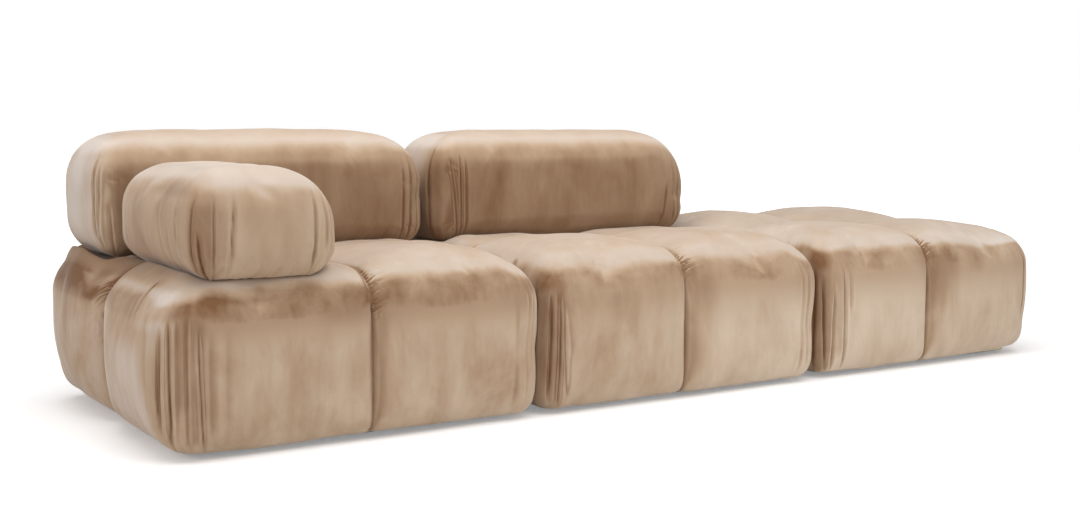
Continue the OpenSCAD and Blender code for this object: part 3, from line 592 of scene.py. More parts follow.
def cut_post_holes(seat, sleeves):
    """Cuts the holes for the posts of a back or arm cushion, down to the foot of their sleeves"""
    turn = np.linspace(0, 2 * pi, HOLE_SIDES, endpoint=False)
    rim = HOLE_R * np.column_stack([np.cos(turn), np.sin(turn)])
    i = np.arange(HOLE_SIDES)
    wall = np.column_stack([i, (i + 1) % HOLE_SIDES, (i + 1) % HOLE_SIDES + HOLE_SIDES, i + HOLE_SIDES])
    for node in sleeves:
        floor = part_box(node)[0].z
        for place in post_places(node):
            low = np.column_stack([rim + place.xy, np.full(HOLE_SIDES, floor)])
            drill = new_piece("drill", np.concatenate([low, low + (0, 0, DRILL_LENGTH)]), wall)
            form = bmesh.new()
            form.from_mesh(drill.data)
            bmesh.ops.holes_fill(form, edges=form.edges)
            bmesh.ops.recalc_face_normals(form, faces=form.faces)
            form.to_mesh(drill.data)
            form.free()
            cut = seat.modifiers.new("post_hole", "BOOLEAN")
            cut.operation = "DIFFERENCE"
            cut.solver = "MANIFOLD"
            cut.object = drill
            baked(seat)
            bpy.data.objects.remove(drill)
    seat.data.materials.clear()


def wired(tree, kind, inputs, **settings):
    """Adds a node with its settings, and sets or links its inputs"""
    node = tree.nodes.new(kind)
    for name, value in settings.items():
        setattr(node, name, value)
    for key, value in inputs.items():
        if isinstance(value, bpy.types.NodeSocket):
            tree.links.new(value, node.inputs[key])
        else:
            node.inputs[key].default_value = value
    return node


COLOUR, NUMBER = "NodeSocketColor", "NodeSocketFloat"


def new_group(name, inputs, outputs):
    """A node group with its named inputs and their first values, and its input and output nodes"""
    group = bpy.data.node_groups.new(name, "ShaderNodeTree")
    for socket, value in inputs.items():
        kind = COLOUR if isinstance(value, tuple) else NUMBER
        group.interface.new_socket(socket, in_out="INPUT", socket_type=kind).default_value = value
    for socket in outputs:
        kind = COLOUR if socket == "Colour" else NUMBER
        group.interface.new_socket(socket, in_out="OUTPUT", socket_type=kind)
    return group, group.nodes.new("NodeGroupInput").outputs, group.nodes.new("NodeGroupOutput").inputs


def object_place(tree):
    """Places on the piece in metres, for a pattern that stays with it"""
    return tree.nodes.new("ShaderNodeTexCoord").outputs["Object"]


def maths(tree, operation, a, b=0.0, clamp=False):
    return wired(tree, "ShaderNodeMath", {0: a, 1: b}, operation=operation, use_clamp=clamp).outputs[0]


def mixed_colour(tree, factor, a, b):
    return wired(tree, "ShaderNodeMix", {0: factor, 6: a, 7: b}, data_type="RGBA").outputs[2]


def ramp(tree, value, low, high, to_low=0.0, to_high=1.0, kind="LINEAR"):
    """A number that goes from to_low, where value is low, to to_high, where it is high"""
    inputs = {"Value": value, "From Min": low, "From Max": high, "To Min": to_low, "To Max": to_high}
    return wired(tree, "ShaderNodeMapRange", inputs, interpolation_type=kind).outputs[0]


def stretched_noise(tree, coordinates, stretch, scale, detail, distortion=0.0):
    """Noise from 0 to 1, drawn out along the axes where stretch is below 1"""
    moved = wired(tree, "ShaderNodeMapping", {"Vector": coordinates, "Scale": stretch}).outputs[0]
    inputs = {"Vector": moved, "Scale": scale, "Detail": detail, "Roughness": 0.6, "Distortion": distortion}
    return wired(tree, "ShaderNodeTexNoise", inputs).outputs["Fac"]


# The way roughly towards the camera: velvet that faces along it is painted darker, velvet turned across it
# lighter, a painted sheen
PAINTED_SHEEN_WAY = (-0.53, -0.85, 0.0)


def make_nap_and_light_group():
    """Colour of the velvet with light painted in: painted light over the tops and ends, a painted sheen by
    the way it faces, painted shade where it turns over an edge and in its creases, and mottled patches of
    pile
    """
    group, given, result = new_group(
        "velvet_nap_and_painted_light",
        {"Dark": (0.19, 0.095, 0.045, 1), "Middle": (0.435, 0.308, 0.205, 1),
         "Light": (0.62, 0.50, 0.385, 1), "Pale": (0.61, 0.53, 0.465, 1),
         "Top tone": 0.68, "Crest": 0.22, "Left tone": 0.5, "Right tone": 0.5, "Middle at": 0.0,
         "End tone": 0.6, "Edge tone": 0.5, "Swing": 1.0, "Patches": 0.95,
         "Light from": 0.54, "Light to": 0.72, "End shade": 0.0, "Edge from": 5.0, "Edge to": 6.0},
        ("Colour", "Roughness", "Height"),
    )

    def add(a, b):
        return maths(group, "ADD", a, b)

    def minus(a, b, clamp=False):
        return maths(group, "SUBTRACT", a, b, clamp)

    def times(a, b, clamp=False):
        return maths(group, "MULTIPLY", a, b, clamp)

    def fade(value, low, high, to_low=0.0, to_high=1.0):
        return ramp(group, value, low, high, to_low, to_high, "SMOOTHSTEP")

    def mixed(factor, a, b):
        return wired(group, "ShaderNodeMix", {0: factor, 2: a, 3: b}, data_type="FLOAT").outputs[0]

    def noted(name):
        return wired(group, "ShaderNodeAttribute", {}, attribute_name=name).outputs["Fac"]

    place = object_place(group)
    patches = minus(stretched_noise(group, place, (1, 1, 0.6), 6.0, 7.0, 0.5), 0.5)
    streaks = minus(stretched_noise(group, place, (1, 1, 0.20), 24.0, 3.0, 0.3), 0.5)
    pile = stretched_noise(group, place, (1, 1, 0.8), 900.0, 2.0)
    mottle = add(patches, times(streaks, 0.45))
    normal = group.nodes.new("ShaderNodeNewGeometry").outputs["Normal"]
    facing = wired(group, "ShaderNodeSeparateXYZ", {0: normal}).outputs
    at = wired(group, "ShaderNodeSeparateXYZ", {0: place}).outputs

    # Masks: the tops and the ends, which get painted light and shade of their own, and the band of painted
    # shade where the velvet turns over an edge
    sideways = times(facing["X"], facing["X"])
    up = add(facing["Z"], times(patches, 0.12))
    up = minus(up, times(sideways, given["End shade"]))
    on_top = fade(up, given["Light from"], given["Light to"])
    on_end = fade(sideways, 0.06, 0.30)
    # On a seat, a band of painted shade below its upper edge, ragged at its foot, between the heights Edge
    # from and Edge to
    ragged = add(at["Z"], times(mottle, 0.19))
    band = times(fade(ragged, given["Edge from"], given["Edge to"]), fade(sideways, 0.30, 0.06))
    turning = maths(group, "MAXIMUM", fade(up, 0.05, 0.45), band)

    # Tone from 0, dark, to 1, light: along the front, with a painted sheen by the way the velvet faces, and
    # with painted light over the top
    across = minus(at["X"], given["Middle at"])
    front = ramp(group, across, -0.35, 0.35, given["Left tone"], given["Right tone"])
    # Painted sheen: lighter where the velvet turns away from that way, darker where it faces along it
    pile_and_light = wired(group, "ShaderNodeVectorMath", {0: normal, 1: PAINTED_SHEEN_WAY}, operation="DOT_PRODUCT")
    pile_and_light = maths(group, "ABSOLUTE", pile_and_light.outputs["Value"])
    lift = times(ramp(group, pile_and_light, 0.85, 0.25), 0.36)
    drop = times(ramp(group, pile_and_light, 0.86, 1.0), 0.42)
    swing = times(minus(lift, drop), given["Swing"])
    side = mixed(on_end, add(front, swing), given["End tone"])
    side = mixed(turning, side, given["Edge tone"])
    # A painted highlight where a top rounds over into its edge
    crest = times(fade(facing["Z"], 1.0, 0.80), given["Crest"])
    tone = mixed(on_top, side, add(given["Top tone"], crest))
    lively = times(given["Patches"], fade(on_top, 0.0, 1.0, 1.0, 0.45))
    tone = add(tone, times(mottle, lively))
    # Patches of pile and of painted shade and light, stored on the velvet; a deep dark patch evens out the
    # tone under it
    patch = noted("pile_and_light")
    tone = add(mixed(fade(patch, -0.30, -0.56), tone, 0.76), patch)
    # Painted shade in the creases, seams and gathers
    tone = minus(tone, times(noted("crease"), 0.55), clamp=True)

    # Light tones on the tops and ends take the paler, greyer colour, a painted sheen
    lower = mixed_colour(group, times(tone, 2.0, clamp=True), given["Dark"], given["Middle"])
    light = mixed_colour(group, maths(group, "MAXIMUM", on_top, on_end), given["Light"], given["Pale"])
    upper = mixed_colour(group, times(minus(tone, 0.5), 2.0, clamp=True), lower, light)
    group.links.new(upper, result["Colour"])
    group.links.new(add(times(pile, 0.1), 0.8), result["Roughness"])
    group.links.new(pile, result["Height"])
    return group


def make_finish(name, group, relief, strength=0.5, metallic=0.0, roughness=0.7, **values):
    """A material from one of the groups. relief is the depth of its surface detail in metres."""
    finish = bpy.data.materials.new(name)
    finish.use_nodes = True
    tree = finish.node_tree
    detail = wired(tree, "ShaderNodeGroup", {}, node_tree=group)
    for socket, value in values.items():
        detail.inputs[socket.replace("_", " ").capitalize()].default_value = value
    shader = tree.nodes["Principled BSDF"]
    shader.inputs["Metallic"].default_value = metallic
    shader.inputs["Roughness"].default_value = roughness
    tree.links.new(detail.outputs["Colour"], shader.inputs["Base Color"])
    if "Roughness" in detail.outputs:
        tree.links.new(detail.outputs["Roughness"], shader.inputs["Roughness"])
    height = {"Height": detail.outputs["Height"], "Strength": strength, "Distance": relief}
    tree.links.new(wired(tree, "ShaderNodeBump", height).outputs[0], shader.inputs["Normal"])
    return finish


def make_velvet(name, **nap_and_light_tones):
    """Velvet: a pile with a soft sheen that hardly glosses"""
    velvet = make_finish(name, nap_and_light_group, 0.0005, 0.15, **nap_and_light_tones)
    shader = velvet.node_tree.nodes["Principled BSDF"]
    shader.inputs["Sheen Weight"].default_value = 0.5
    shader.inputs["Sheen Roughness"].default_value = 0.30
    shader.inputs["Sheen Tint"].default_value = (1.0, 0.94, 0.88, 1)
    shader.inputs["Specular IOR Level"].default_value = 0.15
    return velvet


# One group gives every velvet its pile and its painted light, shade and sheen
nap_and_light_group = make_nap_and_light_group()
# Each seat's velvet has its own tones along its front, and its own painted light and shade over its top and
# its edge
seat_velvets = {
    "left": make_velvet(
        "velvet_left", middle_at=-PITCH, left_tone=0.57, right_tone=0.58, end_tone=0.60, edge_tone=0.21,
        swing=0.6, edge_from=0.24, edge_to=0.36, top_tone=0.60, crest=0.15, light_from=0.58, light_to=0.76),
    "middle": make_velvet(
        "velvet_middle", middle_at=0.0, left_tone=0.54, right_tone=0.93, edge_tone=0.37, swing=0.8,
        edge_from=0.20, edge_to=0.36, top_tone=0.62, crest=0.16, light_from=0.55, light_to=0.70),
    "right": make_velvet(
        "velvet_right", middle_at=PITCH, left_tone=0.92, right_tone=0.73, edge_tone=0.36,
        edge_from=0.20, edge_to=0.36, top_tone=0.67, crest=0.18, light_from=0.55, light_to=0.70),
}
for module, offset in zip(MODULES, (-PITCH, 0, PITCH)):
    seat = make_seat(module, offset)
    seat.data.materials.append(seat_velvets[module])
    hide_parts("seat_cover_" + module)
    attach(seat, "seat_" + module)

# Back and arm cushions: a foam block on a plywood base in a velvet cover, closed underneath.
# A cushion is full in its middle and slack at its ends, where the velvet falls in folds.

# How far a cushion domes, its filling's pressure, the most that it moves the velvet, the cells round half
# of a corner, and the radius of its corners for measures round it
LOAF_FULL = 0.004
LOAF_PRESSURE = 2
LOAF_REACH = 0.008
LOAF_STEPS = 5
LOAF_TURN = 0.090
# Radii of a cushion's lower left, lower right, upper right and upper left ends, and of its two long edges
BACK_RADII = {"left": (0.092, 0.060, 0.145, 0.112), "middle": (0.055, BACK_LOW_R, 0.168, 0.105)}
BACK_EDGES = (BACK_EDGE_R, 0.080)
ARM_RADII = (ARM_LOW_R, ARM_LOW_R, 0.122, ARM_TOP_R)
ARM_EDGES = (ARM_EDGE_R, 0.078)
LEAST_R = 0.015


def loaf_skin(size, radii, side_edge, top_edge, fractions, depth_cells):
    """Points of a loose cushion's skin and its faces: rings round its front, from its rear forwards"""
    width, depth, height = size
    across, along = fractions
    na, nb = len(across) - 1 + 2 * LOAF_STEPS, len(along) - 1 + 2 * LOAF_STEPS
    rim = ring(width / 2, height / 2, radii, across, along, LOAF_STEPS)
    low_left, low_right, high_right, high_left = radii
    right = rim[:, 0] > 0
    r = np.where(rim[:, 1] < 0, np.where(right, low_right, low_left), np.where(right, high_right, high_left))
    core_x = np.clip(rim[:, 0], r - width / 2, width / 2 - r)
    core_y = np.clip(rim[:, 1], r - height / 2, height / 2 - r)
    n = rim - np.column_stack([core_x, core_y])
    n /= np.linalg.norm(n, axis=1)[:, None]
    inner_radii = [max(low - side_edge, LEAST_R) for low in radii[:2]]
    inner_radii += [high - (side_edge + top_edge) / 2 for high in radii[2:]]
    inner_height = height - side_edge - top_edge
    face_rim = ring(width / 2 - side_edge, inner_height / 2, inner_radii, across, along, LOAF_STEPS)
    inward = face_rim + (0, (side_edge - top_edge) / 2) - rim
    edge = np.linalg.norm(inward, axis=1)

    def dome(t):
        return 1 - np.minimum(np.abs(t), 1) ** 3

    def placed(p, n, level, angle):
        """Points p with outward directions n, at a level from the rear, with the fullness of the filling"""
        over_x, over_z = dome(2 * p[:, 0] / width), dome(2 * p[:, 1] / height)
        face = LOAF_FULL * over_x * over_z * sin(angle)
        up = np.maximum(n[:, 1], 0)
        side = LOAF_FULL * cos(angle) * (up * over_x + np.abs(n[:, 0]) * over_z)
        x, z = p[:, 0] + n[:, 0] * side, p[:, 1] + up * side + height / 2
        return np.column_stack([x, depth / 2 - level - face, z])

    quarter = np.radians(np.linspace(0, 90, 8))
    rows = [(1 - sin(a), edge * (1 - cos(a)), a - pi / 2) for a in quarter]
    rows += [(0, edge + (depth - 2 * edge) * k / depth_cells, 0) for k in range(1, depth_cells)]
    rows += [(1 - cos(a), depth - edge * (1 - sin(a)), a) for a in quarter]
    points = [placed(rim + inward * share, n, level, angle) for share, level, angle in rows]
    inner = cap_points(rim + inward, na, nb)
    for level, angle in ((depth, pi / 2), (0, -pi / 2)):
        points.append(placed(inner, np.zeros_like(inner), np.full(len(inner), level), angle))
    return np.concatenate(points), skin_faces(len(rows), na, nb)


# Folds of each loose cushion, with the same measures as a seat's
LOAF_FOLDS = {
    "back_left": (
        (-0.455, 0.03, 0.29, 0.007, 0.0034, 0.004, -0.014),
        (-0.449, 0.0, 0.25, 0.005, 0.0032, 0.004, -0.008), (-0.424, -0.02, 0.15, 0.003, 0.0045, -0.01),
        (-0.492, 0.02, 0.24, 0.0012, 0.01, 0.004), (0.398, -0.01, 0.27, 0.0025, 0.0045, 0.004),
        (0.426, -0.01, 0.3, 0.004, 0.0045, 0.01), (0.456, -0.01, 0.3, 0.004, 0.0045, 0.014),
        (0.476, 0.0, 0.29, 0.0035, 0.005, 0.01),
    ),
    "back_middle": (
        (-0.475, -0.01, 0.31, 0.006, 0.0055, 0.004, -0.01),
        (-0.408, -0.01, 0.26, 0.004, 0.0045, -0.026, 0.004), (-0.385, -0.01, 0.28, 0.005, 0.004, -0.004),
        (-0.37, -0.01, 0.27, 0.003, 0.004, -0.004), (0.36, -0.01, 0.18, 0.002, 0.005, 0.03),
        (0.405, -0.01, 0.28, 0.0025, 0.005, 0.004), (0.43, -0.01, 0.28, 0.0035, 0.0045, 0.01),
        (0.46, 0.0, 0.29, 0.0035, 0.0045, 0.01),
    ),
    "arm": (
        (-0.0785, -0.01, 0.205, 0.0055, 0.0042, 0.015, -0.003),
        (-0.1225, -0.01, 0.2, 0.0022, 0.0026, 0.004), (-0.229, -0.01, 0.2, 0.0042, 0.004, 0.016, -0.003),
        (-0.158, 0.0, 0.2, 0.005, 0.004, 0.0, -0.011), (-0.15, -0.03, 0.12, 0.006, 0.0042, -0.012),
        (-0.628, 0.04, 0.17, 0.0025, 0.0045, 0.01), (-0.349, 0.02, 0.2, 0.0018, 0.007, -0.028),
        (-0.29, -0.01, 0.13, 0.0016, 0.008, 0.01), (0.1155, -0.01, 0.21, 0.0042, 0.004, 0.007),
        (0.146, 0.05, 0.2, 0.004, 0.0042, 0.004), (0.165, 0.0, 0.2, 0.0035, 0.0045, -0.006, 0.004),
        (0.24, -0.01, 0.2, 0.005, 0.005, 0.01), (0.398, -0.01, 0.19, 0.004, 0.006, 0.01),
    ),
}
# Patches of pile that lies the other way, of painted light on the backs' left ends and of painted shadow
# along the foot of the arm, with the same measures as a seat's
LOAF_MARKS = {
    "back_left": ((-0.565, 0.15, 0.15, 0.15, 0.68), (-0.39, 0.17, 0.025, 0.1, -0.12)),
    "back_middle": ((-0.6, 0.16, 0.1, 0.16, 0.55), (-0.465, 0.14, 0.022, 0.14, -0.12)),
    "arm": (
        (-0.145, 0.095, 0.027, 0.11, -0.36), (-0.108, 0.1, 0.016, 0.09, -0.18),
        (-0.31, 0.212, 0.17, 0.024, -0.24), (-0.4, 0.0, 0.29, 0.03, -0.36),
    ),
}
# Gathers along a cushion's lower edge: pitch, reach, depth and slant
BACK_GATHERS = (0.017, 0.045, 0.0016, -0.45)
ARM_GATHERS = (0.017, 0.045, 0.0026, -0.45)


def loaf_relief(body, co, centre, size):
    """How far a cushion's velvet lies off its plain form, how deep in a crease, which sets the painted shade
    there, and how much lighter or darker its patches are
    """
    x, y, z = (co - centre).T
    half_x, half_y, height = size[0] / 2, size[1] / 2, size[2]
    g = girth(x, y, half_x, half_y, LOAF_TURN)
    seed = sum(map(ord, body))
    relief = slack(co, 0.24, 0.0014, seed) + slack(co, 0.09, 0.0005, seed + 1)
    if body == "arm":
        relief -= 0.009 * smoothstep(y, half_y - 0.12, half_y - 0.02)

    loose = relief.copy()
    below_top = smoothstep(-z, 0.035 - height, 0.065 - height)
    for placed_fold in LOAF_FOLDS[body]:
        relief += fold(g, z, *placed_fold) * below_top
    draw = np.random.default_rng(seed)
    rear = half_x + 2 * half_y
    for side in (-1, 1):
        for _ in range(3):
            at = side * (rear + draw.uniform(-0.12, 0.02))
            high, depth = draw.uniform(0.6, 0.9) * height, draw.uniform(0.003, 0.006)
            relief += fold(g, z, at, -0.01, high, depth, 0.005, draw.uniform(-0.02, 0.02))
    reach = half_x - 0.02 if body == "arm" else half_x
    relief += puckers(g, z + 0.012, -reach, reach, *(ARM_GATHERS if body == "arm" else BACK_GATHERS))
    off_top = np.maximum(np.abs(x) / half_x, np.abs(y) / half_y)
    pile_and_light = pile_and_light_marks(g, z, LOAF_MARKS[body]) * smoothstep(off_top, 0.62, 0.82)
    return relief, (loose - relief) / CREASE_DEPTH, pile_and_light


def make_loaf(name, body, lo, hi, radii, edges, fractions, depth_cells):
    """A loose cushion's cover between its lowest and highest corners, with its folds"""
    slim = hi - lo - np.array((2, 2, 1)) * LOAF_REACH
    points, faces = loaf_skin(slim, radii, *edges, fractions, depth_cells)
    centre = np.array(((lo[0] + hi[0]) / 2, (lo[1] + hi[1]) / 2, lo[2]))
    loaf = new_piece(name, points + centre, faces)
    puff(loaf, points[:, 2] < 0.002, LOAF_PRESSURE, LOAF_REACH)
    refine(loaf, 2)
    co = coords(loaf)
    relief, crease, pile_and_light = loaf_relief(body, co, centre, hi - lo)
    co += normals(loaf) * relief[:, None]
    co[:, 2] = np.maximum(co[:, 2], lo[2])
    set_coords(loaf, co)
    # How deep each point lies in a crease or gather, for the painted shade there
    note(loaf, "crease", np.clip(crease, 0, 1))
    note(loaf, "pile_and_light", pile_and_light)
    return loaf


# The back cushions' and the arm's velvets, each with its own tones and its own painted light over its top
back_velvet = make_velvet(
    "velvet_back", top_tone=0.62, crest=0.18, left_tone=0.20, right_tone=0.24, end_tone=0.24, edge_tone=0.38,
    swing=0.6, light_from=0.46, light_to=0.80, patches=0.55)
arm_velvet = make_velvet(
    "velvet_arm", top_tone=0.82, crest=0.05, left_tone=0.54, right_tone=0.58, end_tone=0.42, edge_tone=0.58,
    swing=0.3, light_from=0.34, light_to=0.66, patches=0.60, end_shade=0.45)
# Cells along a cushion's front, closer together towards the ends of a long one, and up its ends
ALONG_BACK = graded((0.270, 4), (0.130, 10))
ALONG_ARM = np.linspace(0, 1, 11)
UP_END = np.linspace(0, 1, 6)
# How far the velvet reaches past the lowest and highest corners of its CAD cover, with ends at whole mm
PAST_COVER = {
    "back_left": ((0, 0, 0), (0.020, 0, -0.002)),
    "back_middle": ((0.006, 0, 0), (0.005, 0, -0.004)),
    "arm": ((-0.016, -0.004, 0), (0.008, 0, -0.001)),
}
# Body, CAD node, radii of the ends, radii of the edges, cells along and up, and cells from front to rear
loaves = (
    ("back_left", "back_cover_left", BACK_RADII["left"], BACK_EDGES, (ALONG_BACK, UP_END), 6),
    ("back_middle", "back_cover_middle", BACK_RADII["middle"], BACK_EDGES, (ALONG_BACK, UP_END), 6),
    ("arm", "arm_cover", ARM_RADII, ARM_EDGES, (ALONG_ARM, UP_END), 16),
)
for body, node, radii, edges, fractions, depth_cells in loaves:
    corners = np.array(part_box(node))
    corners[:, 0] = np.round(corners[:, 0], 3)
    lo, hi = corners + PAST_COVER[body]
    loaf = make_loaf(body + "_velvet", body, lo, hi, radii, edges, fractions, depth_cells)
    loaf.data.materials.append(arm_velvet if body == "arm" else back_velvet)
    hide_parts(node)
    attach(loaf, body)

# Parts that the covers hide: foam, frames, straps, boards, posts, sleeves, clips, screws and glides.
# They are the solids of the CAD model with the finish of their material.


def make_foam_group():
    """Open cells of cut foam, with a slight yellowing in clouds"""
    group, given, result = new_group(
        "foam_cells", {"Colour": (0.80, 0.74, 0.55, 1), "Aged": (0.70, 0.58, 0.36, 1), "Cells": 420.0},
        ("Colour", "Height"))
    place = object_place(group)
    cells = wired(group, "ShaderNodeTexVoronoi", {"Vector": place, "Scale": given["Cells"]})
    cells = cells.outputs["Distance"]
    cloud = stretched_noise(group, place, (1, 1, 1), 5.0, 3.0)
    aged = mixed_colour(group, cloud, given["Colour"], given["Aged"])
    pore = ramp(group, cells, 0.0, 0.5, 0.72, 1.0)
    shaded = wired(group, "ShaderNodeVectorMath", {0: aged, "Scale": pore}, operation="SCALE")
    group.links.new(shaded.outputs[0], result["Colour"])
    group.links.new(cells, result["Height"])
    return group


def make_weave_group():
    """Crossing yarns, over and under, with some yarns darker than others"""
    group, given, result = new_group(
        "weave",
        {"Yarn": (0.1, 0.1, 0.1, 1), "Other yarn": (0.2, 0.2, 0.2, 1), "Yarns": 500.0, "Stripes": 40.0},
        ("Colour", "Height"))

    def yarns(operation, a, b):
        counted = maths(group, "MULTIPLY", maths(group, operation, a, b), given["Yarns"])
        return maths(group, "SINE", counted)

    place = object_place(group)
    at = wired(group, "ShaderNodeSeparateXYZ", {0: place}).outputs
    crossed = maths(group, "MULTIPLY", yarns("ADD", at["X"], at["Z"]), yarns("SUBTRACT", at["Y"], at["Z"]))
    over = maths(group, "ADD", maths(group, "MULTIPLY", crossed, 0.5), 0.5)
    stripes = stretched_noise(group, place, (1, 1, 1), given["Stripes"], 2.0)
    mixed = maths(group, "MULTIPLY", maths(group, "ADD", over, stripes), 0.5, clamp=True)
    group.links.new(mixed_colour(group, mixed, given["Yarn"], given["Other yarn"]), result["Colour"])
    group.links.new(over, result["Height"])
    return group


def make_grain_group():
    """Grain of sawn wood, drawn out along its length, with dark pores"""
    group, given, result = new_group(
        "wood_grain",
        {"Early wood": (0.62, 0.44, 0.26, 1), "Late wood": (0.42, 0.26, 0.13, 1), "Rings": 60.0},
        ("Colour", "Roughness", "Height"))
    place = object_place(group)
    rings = stretched_noise(group, place, (0.06, 0.5, 1), given["Rings"], 4.0, 0.8)
    pores = stretched_noise(group, place, (0.05, 1, 1), 700.0, 2.0)
    late = ramp(group, rings, 0.40, 0.62)
    group.links.new(mixed_colour(group, late, given["Early wood"], given["Late wood"]), result["Colour"])
    group.links.new(maths(group, "ADD", maths(group, "MULTIPLY", pores, 0.2), 0.5), result["Roughness"])
    group.links.new(pores, result["Height"])
    return group


def make_scuff_group():
    """Fine scratches and a duller, patchy film, for metal and moulded plastic"""
    group, given, result = new_group(
        "scuffs",
        {"Colour": (0.6, 0.6, 0.6, 1), "Film": (0.4, 0.4, 0.4, 1), "Roughness": 0.35, "Scratches": 300.0},
        ("Colour", "Roughness", "Height"))
    place = object_place(group)
    scratches = stretched_noise(group, place, (1, 1, 0.04), given["Scratches"], 3.0)
    film = ramp(group, stretched_noise(group, place, (1, 1, 1), 30.0, 4.0), 0.35, 0.75)
    worn = maths(group, "MULTIPLY", maths(group, "ADD", film, scratches), 0.15)
    group.links.new(mixed_colour(group, film, given["Colour"], given["Film"]), result["Colour"])
    group.links.new(maths(group, "ADD", given["Roughness"], worn), result["Roughness"])
    group.links.new(scratches, result["Height"])
    return group


foam_cells = make_foam_group()
weave = make_weave_group()
wood_grain = make_grain_group()
scuffs = make_scuff_group()
FINISHES = {
    "foam": make_finish("cut_foam", foam_cells, 0.0006, roughness=0.95),
    "soft_foam": make_finish("soft_foam", foam_cells, 0.0008, roughness=0.95, colour=(0.72, 0.76, 0.78, 1),
                             aged=(0.68, 0.70, 0.66, 1), cells=320.0),
    "webbing": make_finish("elastic_webbing", weave, 0.0005, roughness=0.85, yarn=(0.07, 0.05, 0.04, 1),
                           other_yarn=(0.16, 0.12, 0.09, 1), yarns=1600.0, stripes=60.0),
    "dust_cloth": make_finish("dust_cloth", weave, 0.0002, roughness=0.95, yarn=(0.008, 0.008, 0.009, 1),
                              other_yarn=(0.022, 0.022, 0.024, 1), yarns=3200.0, stripes=200.0),
    "cord": make_finish("waxed_cord", weave, 0.0003, roughness=0.80, yarn=(0.02, 0.018, 0.016, 1),
                        other_yarn=(0.05, 0.045, 0.04, 1), yarns=2400.0, stripes=300.0),
    "timber": make_finish("sawn_timber", wood_grain, 0.0004),
    "plywood": make_finish("birch_plywood", wood_grain, 0.0002, early_wood=(0.58, 0.42, 0.26, 1),
                           late_wood=(0.46, 0.31, 0.17, 1), rings=35.0),
    "steel": make_finish("brushed_steel", scuffs, 0.00005, metallic=1.0),
    "spring_steel": make_finish("blued_spring_steel", scuffs, 0.00005, metallic=1.0, roughness=0.38,
                                colour=(0.24, 0.26, 0.30, 1), film=(0.12, 0.12, 0.14, 1)),
    "zinc_screw": make_finish("zinc_plate", scuffs, 0.00003, metallic=1.0, roughness=0.28,
                              colour=(0.66, 0.67, 0.66, 1), film=(0.58, 0.56, 0.48, 1)),
    "nylon": make_finish("moulded_nylon", scuffs, 0.00010, roughness=0.45, scratches=900.0,
                         colour=(0.012, 0.012, 0.013, 1), film=(0.030, 0.030, 0.032, 1)),
}
for part in frame["record"]["subparts"]:
    if part["material_slot"] in FINISHES:
        solid = frame["nodes"][part["node"]]
        solid.data.materials.clear()
        solid.data.materials.append(FINISHES[part["material_slot"]])

# Staples that hold the dust cloth and the velvet's hem to the frame, of zinc-plated wire.
# They are driven in from below, nearly flush and a little uneven, as a staple gun leaves them.

# Their spacing, width and inset from the cloth's border, the heights of foot and crown over the cloth's
# underside, and the radius of the wire
STAPLE_PITCH = 0.045
STAPLE_WIDTH = 0.011
STAPLE_INSET = 0.009
STAPLE_FOOT, STAPLE_CROWN = 0.0012, -0.0004
WIRE_R = 0.0005


def make_staples_tree():
    """Staples along the border of a sheet of the given width and depth"""
    tree = bpy.data.node_groups.new("staples", "GeometryNodeTree")
    sizes = {"Width": 0.8, "Depth": 0.8, "Pitch": STAPLE_PITCH, "Unevenness": 0.25}
    for name, value in sizes.items():
        tree.interface.new_socket(name, in_out="INPUT", socket_type=NUMBER).default_value = value
    tree.interface.new_socket("Seed", in_out="INPUT", socket_type="NodeSocketInt").default_value = 1
    tree.interface.new_socket("Wire", in_out="INPUT", socket_type="NodeSocketMaterial")
    tree.interface.new_socket("Geometry", in_out="OUTPUT", socket_type="NodeSocketGeometry")
    given = tree.nodes.new("NodeGroupInput").outputs

    def made(kind, inputs, **settings):
        return wired(tree, kind, inputs, **settings).outputs[0]

    size = {"Width": given["Width"], "Height": given["Depth"]}
    border = made("GeometryNodeCurvePrimitiveQuadrilateral", size)
    places = made("GeometryNodeResampleCurve", {"Curve": border, "Length": given["Pitch"]}, mode="LENGTH")
    half = STAPLE_WIDTH / 2
    bend = {
        "Start": (-half, 0, STAPLE_FOOT), "Start Handle": (-half, 0, STAPLE_CROWN),
        "End Handle": (half, 0, STAPLE_CROWN), "End": (half, 0, STAPLE_FOOT), "Resolution": 12,
    }
    crown = made("GeometryNodeCurvePrimitiveBezierSegment", bend)
    section = made("GeometryNodeCurvePrimitiveCircle", {"Resolution": 8, "Radius": WIRE_R})
    wire = made("GeometryNodeCurveToMesh", {"Curve": crown, "Profile Curve": section, "Fill Caps": True})
    tangent = tree.nodes.new("GeometryNodeInputTangent").outputs[0]
    along = made("FunctionNodeAlignRotationToVector", {"Vector": tangent}, axis="X")
    least = maths(tree, "MULTIPLY", given["Unevenness"], -1.0)
    spread = {"Min": least, "Max": given["Unevenness"], "Seed": given["Seed"]}
    uneven = wired(tree, "FunctionNodeRandomValue", spread)
    turn = [output for output in uneven.outputs if output.enabled][0]
    twist = made("ShaderNodeCombineXYZ", {"Z": turn})
    turning = {"Rotation": along, "Rotate By": twist}
    turned = made("FunctionNodeRotateRotation", turning, rotation_space="LOCAL")
    placed = made("GeometryNodeInstanceOnPoints", {"Points": places, "Instance": wire, "Rotation": turned})
    real = made("GeometryNodeRealizeInstances", {"Geometry": placed})
    coated = made("GeometryNodeSetMaterial", {"Geometry": real, "Material": given["Wire"]})
    tree.links.new(coated, tree.nodes.new("NodeGroupOutput").inputs["Geometry"])
    return tree


